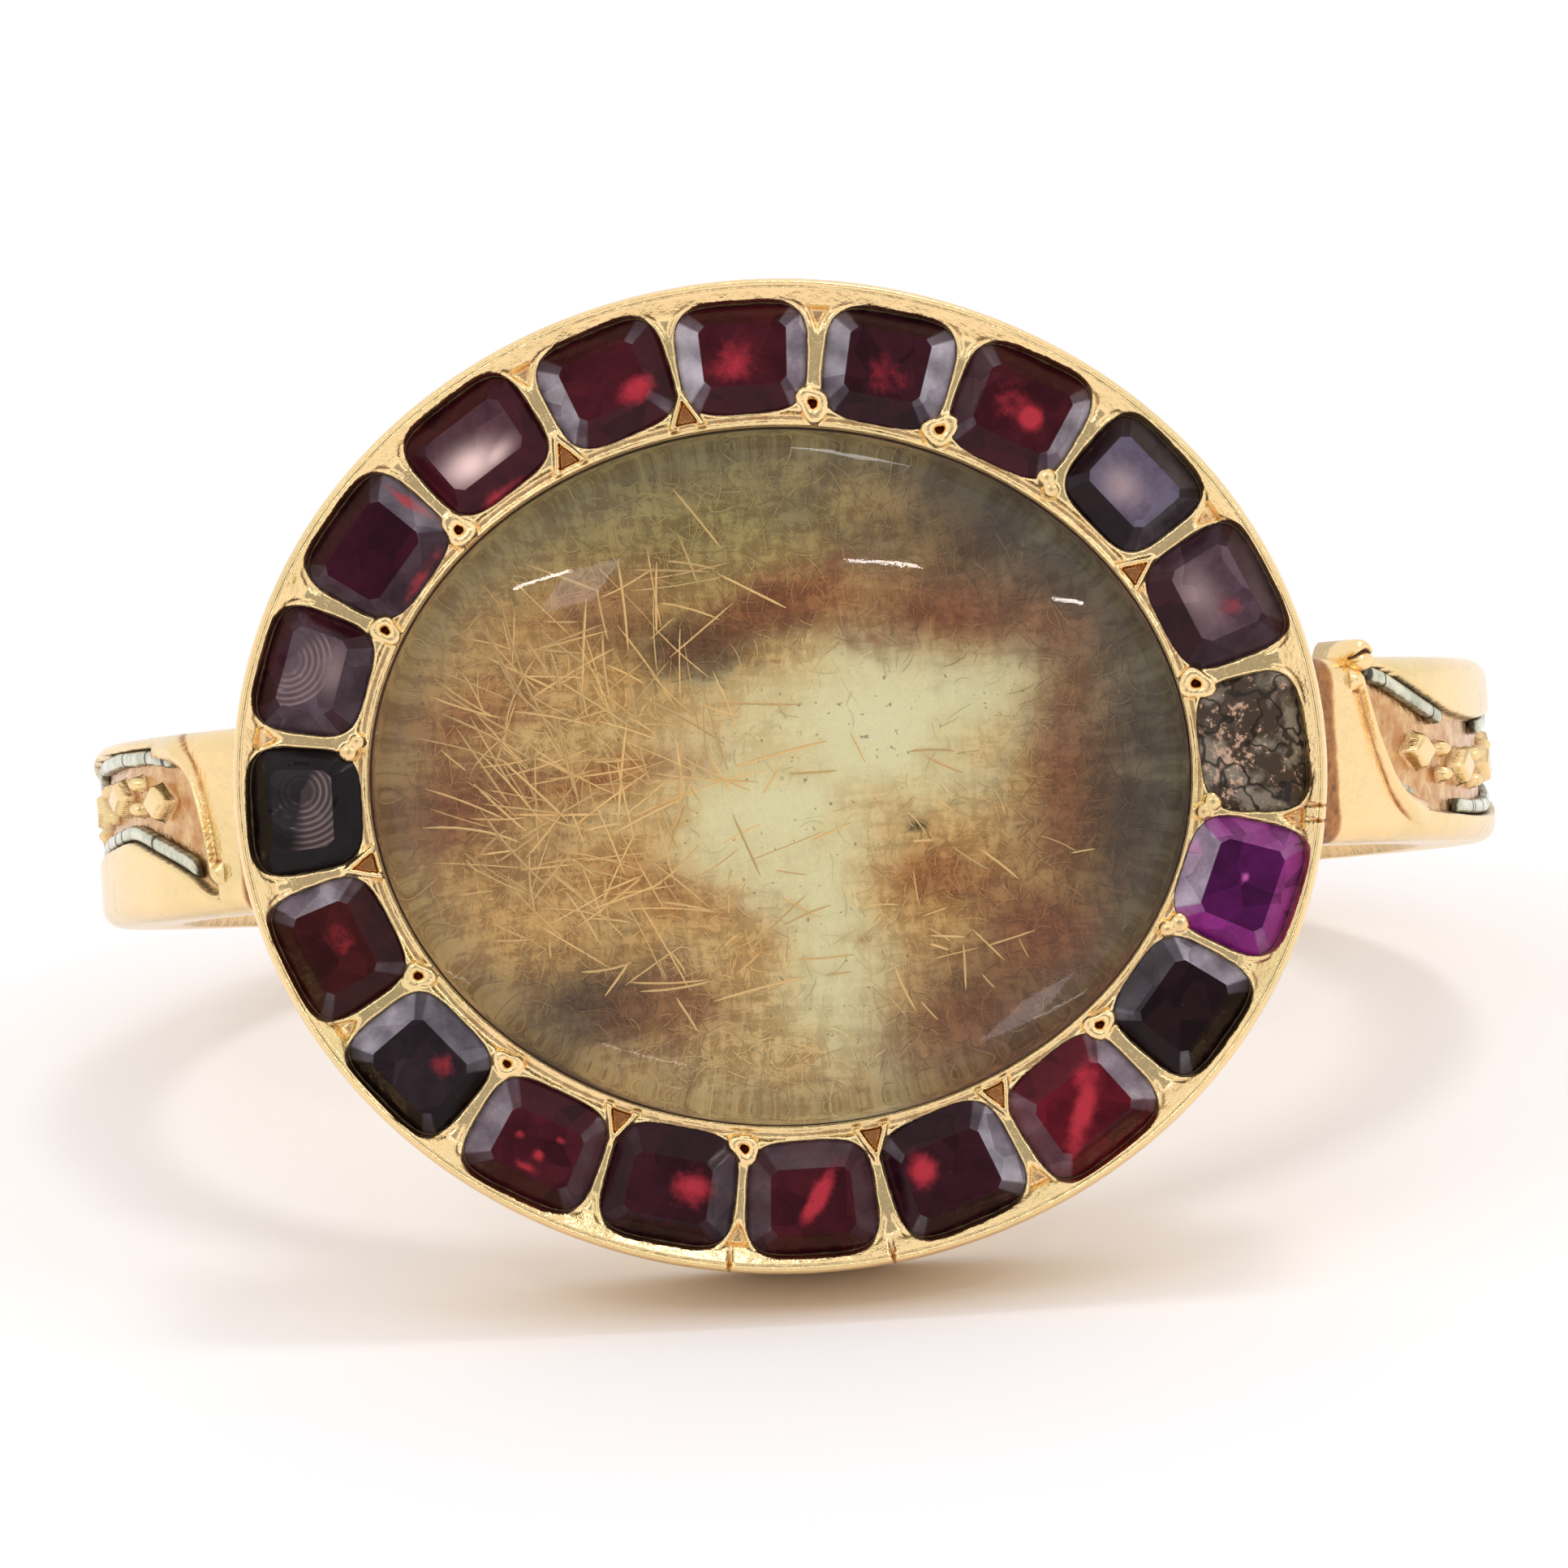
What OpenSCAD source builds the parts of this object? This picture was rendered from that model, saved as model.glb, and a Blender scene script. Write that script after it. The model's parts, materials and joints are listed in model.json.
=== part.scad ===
// A memorial ring that lies on its side: a gold hoop with three scrolled ribbons, and an oval head with
// twenty table-cut stones around a domed crystal, under which cut hair lies on a pale ground.
// Ring frame: the finger goes in along Z, the head faces -Y. Head frame: X to the right, Y up the face and Z
// out of the face, measured from the finger's axis. Millimetres.

/* [Hoop] */
// Radius of the finger hole
bore_r = 8.75; // [7.8:0.05:10.5]
// Thickness of the band
band_t = 1.2; // [1:0.05:1.6]
// Width of the band along the finger
band_w = 2.6; // [2.3:0.05:3.2]
// Rounding of the band's outer corners
band_round = 0.3; // [0.15:0.05:0.45]
// How far the hoop is turned against the head, right shoulder up
hoop_turn = 3.5; // [0:0.5:6]
// Radius of the fillets that join the hoop to the back of the head
shoulder_r = 0.8; // [0.4:0.05:1]

/* [Ribbons] */
// Angle from the middle of the head to the nearest ribbon end
ribbon_start = 54; // [50:1:62]
// Plain band between two ribbons, in degrees
ribbon_gap = 4; // [3:0.5:8]
// Depth of the sunk ribbons
ribbon_depth = 0.22; // [0.12:0.02:0.34]
// Height of the lip at each ribbon end above the band
lip_h = 0.12; // [0.06:0.02:0.2]
// Thickness of that lip along the band
lip_w = 0.3; // [0.2:0.05:0.4]
// Half length of a raised lozenge
lozenge_l = 0.46; // [0.3:0.02:0.5]
// Half height of a raised lozenge
lozenge_h = 0.3; // [0.2:0.02:0.32]
// Radius of the raised dots between the lozenges
dot_r = 0.12; // [0.08:0.01:0.14]
// Radius of the curl that stands up at the right shoulder
curl_r = 0.34; // [0.26:0.02:0.4]

/* [Enamel] */
// Width of the enamel strips along the ribbon's borders
enamel_w = 0.22; // [0.14:0.02:0.26]
// Thickness of the enamel
enamel_t = 0.14; // [0.08:0.02:0.18]

/* [Head] */
// Length of the head, across the finger
head_len = 15; // [14.4:0.1:16]
// Height of the head, along the finger
head_w = 13.65; // [13:0.05:14.6]
// From the finger hole to the back of the head
head_seat = 0.45; // [0.3:0.05:0.7]
// From the back of the head to its rim
head_depth = 3; // [2.8:0.05:3.4]
// Thickness of the head's back plate
plate_t = 0.5; // [0.3:0.05:0.6]
// Width of the gold outside the stones
rim_w = 0.2; // [0.16:0.02:0.3]
// Height of the rim above the gold between the stones
rim_h = 0.22; // [0.1:0.02:0.3]
// Width of the gold between the stones and the crystal
collar_w = 0.15; // [0.12:0.01:0.25]
// Gold between two neighbouring stones
rib_w = 0.165; // [0.14:0.005:0.3]
// Radius of the beads at the inner end of the gold ribs
bead_r = 0.19; // [0.12:0.01:0.24]

/* [Crystal] */
// Length of the crystal
crystal_len = 11.24; // [10.6:0.02:11.5]
// Height of the crystal's outline
crystal_w = 9.56; // [9:0.02:9.9]
// Height of the crystal's upright edge
crystal_edge = 0.9; // [0.6:0.05:1]
// Height of the dome above that edge
dome_h = 1.5; // [0.9:0.05:1.8]
// Width of the gold ledge under the crystal
ledge_w = 0.25; // [0.15:0.05:0.4]

/* [Hair compartment] */
// Thickness of the pale ground
ground_t = 0.3; // [0.15:0.05:0.4]
// Room for the hair between the ground and the crystal
hair_room = 0.4; // [0.3:0.05:0.5]

/* [Stones] */
// Height of the crown above the girdle
crown_h = 0.42; // [0.3:0.02:0.5]
// Thickness of the girdle
girdle_t = 0.1; // [0.06:0.02:0.14]
// Depth of the pavilion under the girdle
pavilion_h = 0.95; // [0.6:0.05:1.05]
// How far the tables stay below the rim
table_drop = 0.08; // [0.02:0.02:0.2]
// Width of the cuts through the rim
cut_w = 0.05; // [0.03:0.01:0.08]

/* [Fits] */
// Clearance around each stone, the crystal, the ground and the enamel
fit = 0.02; // [0.01:0.005:0.03]

/* [Hidden] */
STONES = 20;
STONE_NAMES = [for (i = [1:STONES]) str("stone_", i < 10 ? "0" : "", i)];
RIBBON_NAMES = ["enamel_right", "enamel_back", "enamel_left"];
$fn = 96;

GOLD = [0.91, 0.74, 0.45];
GARNET = [0.33, 0.04, 0.08];
PASTE = [0.55, 0.5, 0.44];
PURPLE = [0.5, 0.08, 0.42];
CRYSTAL = [0.85, 0.83, 0.75, 0.4];
IVORY = [0.84, 0.83, 0.68];
ENAMEL = [0.68, 0.71, 0.63];

// Each row is a stone, clockwise from the one left of the top. ALONG and ACROSS are shares of the even stone's
// sides, SHIFT is a share of the spacing, OUT a share of the stone's width, TURN is in degrees.
ALONG = 0;
ACROSS = 1;
SHIFT = 2;
OUT = 3;
TURN = 4;
TINT = 5;
STONE_TABLE = [
    [1.00, 0.98, -0.02, -0.03, 0, GARNET], [0.99, 1.00, 0.02, -0.04, 1, GARNET],
    [0.99, 1.02, 0.00, -0.02, 2, GARNET], [0.92, 0.97, -0.04, 0.02, -3, GARNET],
    [1.01, 1.03, -0.05, 0.00, 0, GARNET], [1.05, 0.93, 0.02, -0.04, 2, PASTE],
    [0.99, 1.03, 0.02, -0.03, -2, PURPLE], [0.94, 1.00, -0.02, -0.02, 1, GARNET],
    [1.01, 1.04, -0.01, 0.00, 3, GARNET], [1.01, 1.04, 0.01, -0.02, 4, GARNET],
    [1.00, 1.01, 0.03, 0.00, 0, GARNET], [1.01, 1.03, 0.03, -0.03, 1, GARNET],
    [1.01, 0.99, 0.02, 0.02, 2, GARNET], [0.98, 1.00, 0.02, 0.03, -1, GARNET],
    [1.00, 0.98, 0.02, 0.02, 1, GARNET], [0.96, 0.98, 0.01, -0.02, -2, GARNET],
    [0.94, 0.94, -0.02, 0.01, 1, GARNET], [1.00, 1.01, -0.02, -0.02, 1, GARNET],
    [1.00, 0.97, -0.01, 0.01, 2, GARNET], [0.98, 0.98, 0.01, -0.02, 4, GARNET]
];
FIRST_STONE = -0.243; // place of the first stone from the top of the head, in spacings

// The stone's outline is a cushion: a squared-off oval, tapered like a keystone to follow the oval ring.
CUSHION_SIDES = 16;
CUSHION_POWER = 3.8;
KEYSTONE = 0.62; // share of the turn from stone to stone that the taper takes up
TABLE_ALONG = 0.64; // table against outline
TABLE_ACROSS = 0.54;
TABLE_OUT = 0.04;
CULET = 0.4;

// Shell-shaped chips: stone, place along and across as shares of its half sides, radius and depth as shares of
// its crown's height
CHIP_TABLE = [[16, -0.10, 0.05, 2.6, 0.55], [16, 0.55, -0.35, 2.0, 0.4], [17, 0.10, 0.62, 1.5, 0.6]];

// Cuts of a tool through the rim: place round the head clockwise from the top, in degrees
RIM_CUTS = [93.6, 95.4, 168, 185.5];

// A sunk ribbon from the tip at its right end, which points up, to the tip at its left end, which points down:
// place as a share of the half length, lower and upper border as shares of the band's half width
RIBBON = [
    [0.00, 0.80, 0.92], [0.02, 0.50, 0.92], [0.05, 0.12, 0.92], [0.11, -0.36, 0.86], [0.20, -0.60, 0.70],
    [0.30, -0.68, 0.53], [0.42, -0.71, 0.38], [0.60, -0.73, 0.32], [0.80, -0.68, 0.40], [1.00, -0.52, 0.60],
    [1.24, -0.26, 0.80], [1.48, -0.14, 0.88], [1.60, -0.12, 0.88], [1.73, -0.28, 0.86], [1.87, -0.51, 0.72],
    [1.94, -0.70, 0.45], [1.98, -0.79, -0.10], [2.00, -0.82, -0.60]
];
LOW = 1;
HIGH = 2;
RIBBON_STEPS = 44;
ORNAMENTS = 7; // lozenges in a ribbon
ORNAMENT_START = 0.26; // place of the first lozenge, as a share of the half length
DOT_APART = 0.12; // between the two dots of a pair
ENAMEL_STEPS = 12;
LIP_STEPS = 8;
LIP_END = 0.13; // place where the lip runs out
LIP_TAPER = 0.75; // thickness of the lip at its tip, as a share of its full one
CURL_PLACE = 0.01;
CURL_RISE = 0.3; // height of the curl's middle above the band, as a share of its radius
// Stretches of the two borders that still hold enamel, from 0 at one tip to 2 at the other
ENAMEL_HIGH = [[0.05, 0.38], [0.66, 1.24], [1.28, 1.82]];
ENAMEL_LOW = [[0.13, 0.22], [0.45, 1.10], [1.16, 1.90]];

band_r = bore_r + band_t;
ribbon_r = band_r - ribbon_depth;
ribbon_half = (360 - 2 * ribbon_start - 2 * ribbon_gap) / 6;
half_w = band_w / 2;
SOLDER = 0.05; // how far the fillets run into the hoop and the head
back_z = bore_r + head_seat;
rim_z = back_z + head_depth;
deck_z = rim_z - rim_h;
chamber_z = back_z + plate_t;
ground_z = chamber_z + fit;
ledge_z = ground_z + ground_t + hair_room;
crystal_z = ledge_z + fit;
crystal_top = crystal_z + crystal_edge;
table_z = rim_z - table_drop;
girdle_z = table_z - crown_h;
culet_z = girdle_z - girdle_t - pavilion_h;
pocket_z = culet_z - fit;
head_size = [head_len / 2, head_w / 2];
crystal_size = [crystal_len / 2, crystal_w / 2];
well_size = crystal_size + [fit, fit];
chamber_size = crystal_size - [ledge_w, ledge_w];
ground_size = chamber_size - [fit, fit];
lane_out = head_size - [rim_w, rim_w];
lane_in = crystal_size + [collar_w, collar_w];
row_size = (lane_out + lane_in) / 2;
stone_w = min(lane_out[0] - lane_in[0], lane_out[1] - lane_in[1]);

// Point and outward direction on an oval with half sides s, t degrees clockwise from its top
function oval(s, t) = [s[0] * sin(t), s[1] * cos(t)];
function oval_out(s, t) = atan2(s[0] * cos(t), s[1] * sin(t));
function oval_points(s, n) = [for (i = [0:n - 1]) oval(s, -360 * i / n)];

// Distance run round the stones' oval against the angle, which spaces the stones evenly
ROW_STEPS = 360;
function row_step(i) = norm(oval(row_size, i + 1) - oval(row_size, i));
ROW_RUN = [for (i = 0, run = 0; i <= ROW_STEPS; run = run + row_step(i), i = i + 1) [run, i]];
row_length = ROW_RUN[ROW_STEPS][0];
pitch = row_length / STONES;
stone_l = pitch - rib_w;
function around(run) = run - row_length * floor(run / row_length);
function row_angle(run) = lookup(around(run), ROW_RUN);

// The row of stones: run, direction out, place and half sides of stone i, counted from 0
function stone_run(i) = (FIRST_STONE + i + STONE_TABLE[i][SHIFT]) * pitch;
function stone_out(i) = oval_out(row_size, row_angle(stone_run(i)));
function stone_half(i) = [stone_l * STONE_TABLE[i][ALONG], stone_w * STONE_TABLE[i][ACROSS]] / 2;
function stone_place(i) = let (out = stone_out(i))
    oval(row_size, row_angle(stone_run(i))) + STONE_TABLE[i][OUT] * stone_w * [cos(out), sin(out)];
function wrapped(a) = a - 360 * round(a / 360);
function lean_between(i) = abs(wrapped(oval_out(row_size, row_angle(stone_run(i) - pitch / 2))
    - oval_out(row_size, row_angle(stone_run(i) + pitch / 2)))) / 2;

// A cushion outline with half sides s, grown by g, that narrows towards the crystal by the angle k
function power(v, p) = sign(v) * pow(abs(v), p);
function cushion(s, k, g = 0) = [for (i = [0:CUSHION_SIDES - 1])
    let (t = 360 * (i + 0.5) / CUSHION_SIDES, y = (s[1] + g) * power(sin(t), 2 / CUSHION_POWER))
    [(s[0] + g + tan(k) * y) * power(cos(t), 2 / CUSHION_POWER), y]];

// A closed solid through rings of points in space, which run counter-clockwise seen from the last ring
module skin(rings) {
    n = len(rings[0]);
    last = len(rings) - 1;
    ends = [[for (i = [0:n - 1]) i], [for (i = [n - 1:-1:0]) last * n + i]];
    walls = [for (j = [0:last - 1], i = [0:n - 1], half = [0, 1])
        let (a = j * n + i, b = j * n + (i + 1) % n)
        half == 0 ? [a, a + n, b] : [b, a + n, b + n]];
    polyhedron([for (r = rings, p = r) p], concat(ends, walls));
}

// The same through flat outlines, each given as [outline, height]
module loft(sections) {
    skin([for (s = sections) [for (p = s[0]) [p[0], p[1], s[1]]]]);
}

// Straight oval prism
module oval_prism(s, low, high, n = 96) {
    translate([0, 0, low])
        linear_extrude(high - low)
            polygon(oval_points(s, n));
}

// Turns a piece of the head's frame into the ring's frame
module on_head() {
    rotate([90, 0, 0])
        children();
}

// Turns a piece of the hoop's own frame into the ring's frame
module on_hoop() {
    rotate([0, -hoop_turn, 0])
        children();
}

// The head's profile, from the back plate over the rim to the collar round the crystal
HEAD_FOOT = 0.25;
HEAD_PROFILE = [
    [head_size - [HEAD_FOOT, HEAD_FOOT], back_z],
    [head_size - [HEAD_FOOT, HEAD_FOOT] / 5, back_z + HEAD_FOOT],
    [head_size, deck_z],
    [head_size - [rim_w, rim_w] * 0.4, rim_z],
    [head_size - [rim_w, rim_w] * 1.1, rim_z],
    [head_size - [rim_w, rim_w] * 2.2, deck_z],
    [lane_in, deck_z - rim_h / 2],
    [crystal_size, deck_z - rim_h]
];
DOME_RINGS = [0, 14, 28, 42, 56, 70, 82];
DOME_FLAT = 0.75;
function dome_ring(t) = [crystal_size * cos(t), crystal_top + dome_h * pow(sin(t), DOME_FLAT) / pow(sin(82), DOME_FLAT)];

// How far a shape reaches in the direction [x, y, z] of the ring's frame
function hoop_reach(d) = let (dx = d[0] * cos(hoop_turn) + d[2] * sin(hoop_turn),
    dz = -d[0] * sin(hoop_turn) + d[2] * cos(hoop_turn))
    (band_r - band_round) * norm([dx, d[1]]) + (half_w - band_round) * abs(dz) + band_round;
function rings_reach(rings, d) = max([for (r = rings) -d[1] * r[1] + norm([r[0][0] * d[0], r[0][1] * d[2]])]);
function head_reach(d) = max(rings_reach(HEAD_PROFILE, d), rings_reach([for (t = DOME_RINGS) dome_ring(t)], d));

// The ring leans until the foot of its head and the back of its hoop touch the same surface, and rolls sideways
// until its centre of mass, which lies on the axis of the head, is as low as it goes.
BALANCE = 0.51; // centre of mass, as a share of the way from the finger's axis to the rim
MOST_LEAN = 45;
MOST_ROLL = 12;
function down(a, roll) = [cos(a) * sin(roll), sin(a), -cos(a) * cos(roll)];
function lean_at(roll, low = 0, high = MOST_LEAN, left = 32) = let (a = (low + high) / 2, d = down(a, roll))
    left == 0 ? a
    : hoop_reach(d) < head_reach(d) ? lean_at(roll, a, high, left - 1) : lean_at(roll, low, a, left - 1);
function mass_height(roll) = let (a = lean_at(roll)) hoop_reach(down(a, roll)) + BALANCE * rim_z * sin(a);
function lowest(low, high, left) = let (third = (high - low) / 3, a = low + third, b = high - third)
    left == 0 ? (low + high) / 2
    : mass_height(a) < mass_height(b) ? lowest(low, b, left - 1) : lowest(a, high, left - 1);
roll = lowest(-MOST_ROLL, MOST_ROLL, 24);
lean = lean_at(roll);
lift = hoop_reach(down(lean, roll));

// Middle of the lying ring's box, from the finger's axis
function reach(d) = max(hoop_reach(d), head_reach(d));
function middle(d) = (reach(d) - reach(-d)) / 2;
middle_x = middle([cos(roll), 0, sin(roll)]);
middle_y = middle([-sin(lean) * sin(roll), cos(lean), sin(lean) * cos(roll)]);

module lying() {
    translate([-middle_x, -middle_y, lift])
        rotate([-lean, 0, 0])
            rotate([0, roll, 0])
                children();
}

// Smooth curve through one column of the ribbon table
function slope(i, col) = let (a = max(i - 1, 0), b = min(i + 1, len(RIBBON) - 1))
    (RIBBON[b][col] - RIBBON[a][col]) / (RIBBON[b][0] - RIBBON[a][0]);
function row_before(u, i = 0) = i >= len(RIBBON) - 2 || RIBBON[i + 1][0] >= u ? i : row_before(u, i + 1);
function curve(u, col) = let (i = row_before(u), w = RIBBON[i + 1][0] - RIBBON[i][0], t = (u - RIBBON[i][0]) / w)
    (2 * t * t * t - 3 * t * t + 1) * RIBBON[i][col] + (t * t * t - 2 * t * t + t) * w * slope(i, col)
    + (3 * t * t - 2 * t * t * t) * RIBBON[i + 1][col] + (t * t * t - t * t) * w * slope(i + 1, col);
function ribbon_low(u) = half_w * curve(u, LOW);
function ribbon_high(u) = half_w * curve(u, HIGH);
function ribbon_middle(u) = (ribbon_low(u) + ribbon_high(u)) / 2;

// Ribbon i's angle round the hoop from the middle of the head, u from 0 to 2 along it
function ribbon_angle(i, u) = ribbon_start + ribbon_half + i * (2 * ribbon_half + ribbon_gap)
    + (u - 1) * ribbon_half;
function on_round(r, a, z) = [r * sin(a), -r * cos(a), z];

// A curved strip of ribbon i between two radii, whose borders are lists of heights, one for each place u
module ribbon_strip(i, us, lows, highs, low_r, high_r) {
    skin([for (k = [0:len(us) - 1]) let (a = ribbon_angle(i, us[k]))
        [on_round(low_r, a, lows[k]), on_round(low_r, a, highs[k]),
         on_round(high_r, a, highs[k]), on_round(high_r, a, lows[k])]]);
}
function steps(from, to, n) = [for (i = [0:n]) from + (to - from) * i / n];

module sunk_ribbon(i) {
    us = [for (k = [0:RIBBON_STEPS]) 1 - cos(180 * k / RIBBON_STEPS)];
    ribbon_strip(i, us, [for (u = us) ribbon_low(u)], [for (u = us) ribbon_high(u)], ribbon_r, band_r + 2 * lip_h);
}

// Strips of enamel along both borders of ribbon i
module enamel_strips(i) {
    for (s = ENAMEL_HIGH) {
        us = steps(s[0], s[1], ENAMEL_STEPS);
        edge = [for (u = us) ribbon_high(u) - fit];
        ribbon_strip(i, us, [for (z = edge) z - enamel_w], edge, ribbon_r + fit, ribbon_r + fit + enamel_t);
    }
    for (s = ENAMEL_LOW) {
        us = steps(s[0], s[1], ENAMEL_STEPS);
        edge = [for (u = us) ribbon_low(u) + fit];
        ribbon_strip(i, us, edge, [for (z = edge) z + enamel_w], ribbon_r + fit, ribbon_r + fit + enamel_t);
    }
}

// The raised lips that close both ends of ribbon i, from inside it, where it then cuts them, to their own width
module ribbon_lips(i) {
    width = steps(LIP_TAPER * lip_w, lip_w, LIP_STEPS);
    right = steps(0, LIP_END, LIP_STEPS);
    ribbon_strip(i, right, [for (k = [0:LIP_STEPS]) ribbon_low(right[k]) - width[k]],
                 [for (u = right) ribbon_low(u) + lip_w / 3], bore_r + band_t / 2, band_r + lip_h);
    left = steps(2 - LIP_END, 2, LIP_STEPS);
    ribbon_strip(i, left, [for (u = left) ribbon_high(u) - lip_w / 3],
                 [for (k = [0:LIP_STEPS]) ribbon_high(left[k]) + width[LIP_STEPS - k]],
                 bore_r + band_t / 2, band_r + lip_h);
}

// Carries a small flat drawing onto the hoop at an angle and a height, between two radii
module on_face(angle, z, low_r, high_r) {
    rotate([0, 0, angle])
        intersection() {
            translate([0, 0, z])
                rotate([90, 0, 0])
                    linear_extrude(high_r + 1)
                        children();
            difference() {
                cylinder(r = high_r, h = 3 * band_w, center = true);
                cylinder(r = low_r, h = 4 * band_w, center = true);
            }
        }
}

// Raised lozenges with dots between them, along the middle of ribbon i
module ornaments(i) {
    spacing = (2 - 2 * ORNAMENT_START) / (ORNAMENTS - 1);
    for (k = [0:ORNAMENTS - 1]) {
        u = ORNAMENT_START + spacing * k;
        on_face(ribbon_angle(i, u), ribbon_middle(u), ribbon_r - ribbon_depth / 2, band_r)
            polygon([[-lozenge_l, 0], [0, -lozenge_h], [lozenge_l, 0], [0, lozenge_h]]);
    }
    for (k = [0:ORNAMENTS - 2], side = [-1, 1]) {
        u = ORNAMENT_START + spacing * (k + 0.5);
        on_face(ribbon_angle(i, u), ribbon_middle(u) + side * (dot_r + DOT_APART / 2),
                ribbon_r - ribbon_depth / 2, band_r)
            circle(dot_r, $fn = 16);
    }
}

module band() {
    rotate_extrude($fn = 180)
        difference() {
            translate([bore_r / 2, -half_w])
                square([band_r - bore_r / 2, band_w]);
            for (side = [-1, 1])
                translate([band_r, side * half_w])
                    rotate(side > 0 ? 180 : 90)
                        difference() {
                            square(band_round);
                            translate([band_round, band_round])
                                circle(band_round, $fn = 32);
                        }
        }
}

// The curled end of the lip, which stands up at the right shoulder
module curl() {
    on_face(ribbon_angle(0, CURL_PLACE), half_w + CURL_RISE * curl_r, bore_r + band_t / 2, band_r + 1.5 * lip_h)
        circle(curl_r);
}

module hoop() {
    difference() {
        union() {
            band();
            curl();
            for (i = [0:2])
                ribbon_lips(i);
        }
        for (i = [0:2])
            sunk_ribbon(i);
    }
    for (i = [0:2])
        ornaments(i);
}

// Fillets between the outside of the hoop and the back of the head, which run a little into both
module shoulders() {
    reach = back_z + SOLDER;
    fillet_y = shoulder_r - reach;
    fillet_x = sqrt(pow(band_r - SOLDER + shoulder_r, 2) - pow(fillet_y, 2));
    linear_extrude(band_w - 2 * band_round, center = true)
        for (side = [-1, 1])
            difference() {
                polygon([[0, -bore_r / 2], [0, -reach], [side * fillet_x, -reach], [side * fillet_x, fillet_y]]);
                translate([side * fillet_x, fillet_y])
                    circle(shoulder_r);
            }
}

// Pointed ribs between the stones, each with a bead at its inner end
module ribs() {
    for (i = [0:STONES - 1]) {
        next = (i + 1) % STONES;
        run = (stone_run(i) + stone_run(next) + (next == 0 ? row_length : 0)) / 2;
        t = row_angle(run);
        place = oval(row_size, t);
        translate([place[0], place[1], deck_z - rim_h])
            rotate([0, 0, oval_out(row_size, t)]) {
                rotate([90, 0, 90])
                    linear_extrude(stone_w + rim_w, center = true)
                        polygon([[-rib_w * 1.5, 0], [rib_w * 1.5, 0], [0, 1.7 * rim_h]]);
                translate([-stone_w * 0.42, 0, rim_h])
                    sphere(bead_r, $fn = 32);
            }
    }
}

module pockets() {
    for (i = [0:STONES - 1]) {
        place = stone_place(i);
        translate([place[0], place[1], pocket_z])
            rotate([0, 0, stone_out(i) - 90 + STONE_TABLE[i][TURN]])
                linear_extrude(rim_z)
                    polygon(cushion(stone_half(i), KEYSTONE * lean_between(i), fit));
    }
}

module rim_cuts() {
    for (t = RIM_CUTS) {
        place = oval(lane_out, t);
        translate([place[0], place[1], deck_z])
            rotate([0, 0, oval_out(lane_out, t)])
                translate([0, -cut_w / 2, 0])
                    cube([2 * rim_w, cut_w, 2 * rim_h]);
    }
}

module gold_ring() {
    color(GOLD)
        lying()
            difference() {
                union() {
                    on_hoop() {
                        hoop();
                        shoulders();
                    }
                    on_head() {
                        loft([for (s = HEAD_PROFILE) [oval_points(s[0], 96), s[1]]]);
                        ribs();
                    }
                }
                on_head() {
                    pockets();
                    rim_cuts();
                    oval_prism(chamber_size, chamber_z, rim_z);
                    oval_prism(well_size, ledge_z, rim_z + 1);
                }
                on_hoop()
                    cylinder(r = bore_r, h = 2 * band_w, center = true);
            }
}

// A table-cut stone: flat table, sloped crown, thin girdle, and a pavilion down to a small flat culet
module cut_stone(i) {
    outline = cushion(stone_half(i), KEYSTONE * lean_between(i));
    table = [for (p = outline) [p[0] * TABLE_ALONG, p[1] * TABLE_ACROSS + TABLE_OUT * stone_w]];
    loft([[outline * CULET, culet_z], [outline, girdle_z - girdle_t], [outline, girdle_z], [table, table_z]]);
}

module stone(i) {
    half = stone_half(i);
    place = stone_place(i);
    chips = [for (c = CHIP_TABLE) if (c[0] == i + 1) c];
    color(STONE_TABLE[i][TINT])
        lying()
            on_head()
                translate([place[0], place[1], 0])
                    rotate([0, 0, stone_out(i) - 90 + STONE_TABLE[i][TURN]])
                        difference() {
                            cut_stone(i);
                            for (c = chips)
                                translate([c[1] * half[0], c[2] * half[1], table_z + (c[3] - c[4]) * crown_h])
                                    sphere(c[3] * crown_h, $fn = 48);
                        }
}

module crystal() {
    color(CRYSTAL)
        lying()
            on_head()
                loft(concat([[oval_points(crystal_size, 72), crystal_z]],
                    [for (t = DOME_RINGS) let (r = dome_ring(t)) [oval_points(r[0], 72), r[1]]]));
}

module hair_ground() {
    color(IVORY)
        lying()
            on_head()
                oval_prism(ground_size, ground_z, ground_z + ground_t);
}

module enamel(i) {
    color(ENAMEL)
        lying()
            on_hoop()
                enamel_strips(i);
}

gold_ring();
for (i = [0:STONES - 1])
    stone(i);
crystal();
hair_ground();
for (i = [0:2])
    enamel(i);
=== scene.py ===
"""Dresses an old gold mourning ring: table-cut stones and a crystal over cut hair, on an enamelled hoop.

Sizes are in millimetres in two frames of the ring. In the head's frame X is right, Y is up the face and Z is
out of the face, from the finger's axis. In the hoop's frame a place is an angle from the middle of the head,
a radius and a height along the finger. RingFrame carries both to the part's own frame, in metres.
"""

import json
import logging
import math
from dataclasses import dataclass
from enum import Enum
from typing import Callable, Sequence

import bpy
import numpy as np
from mathutils import Matrix, Vector


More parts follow.
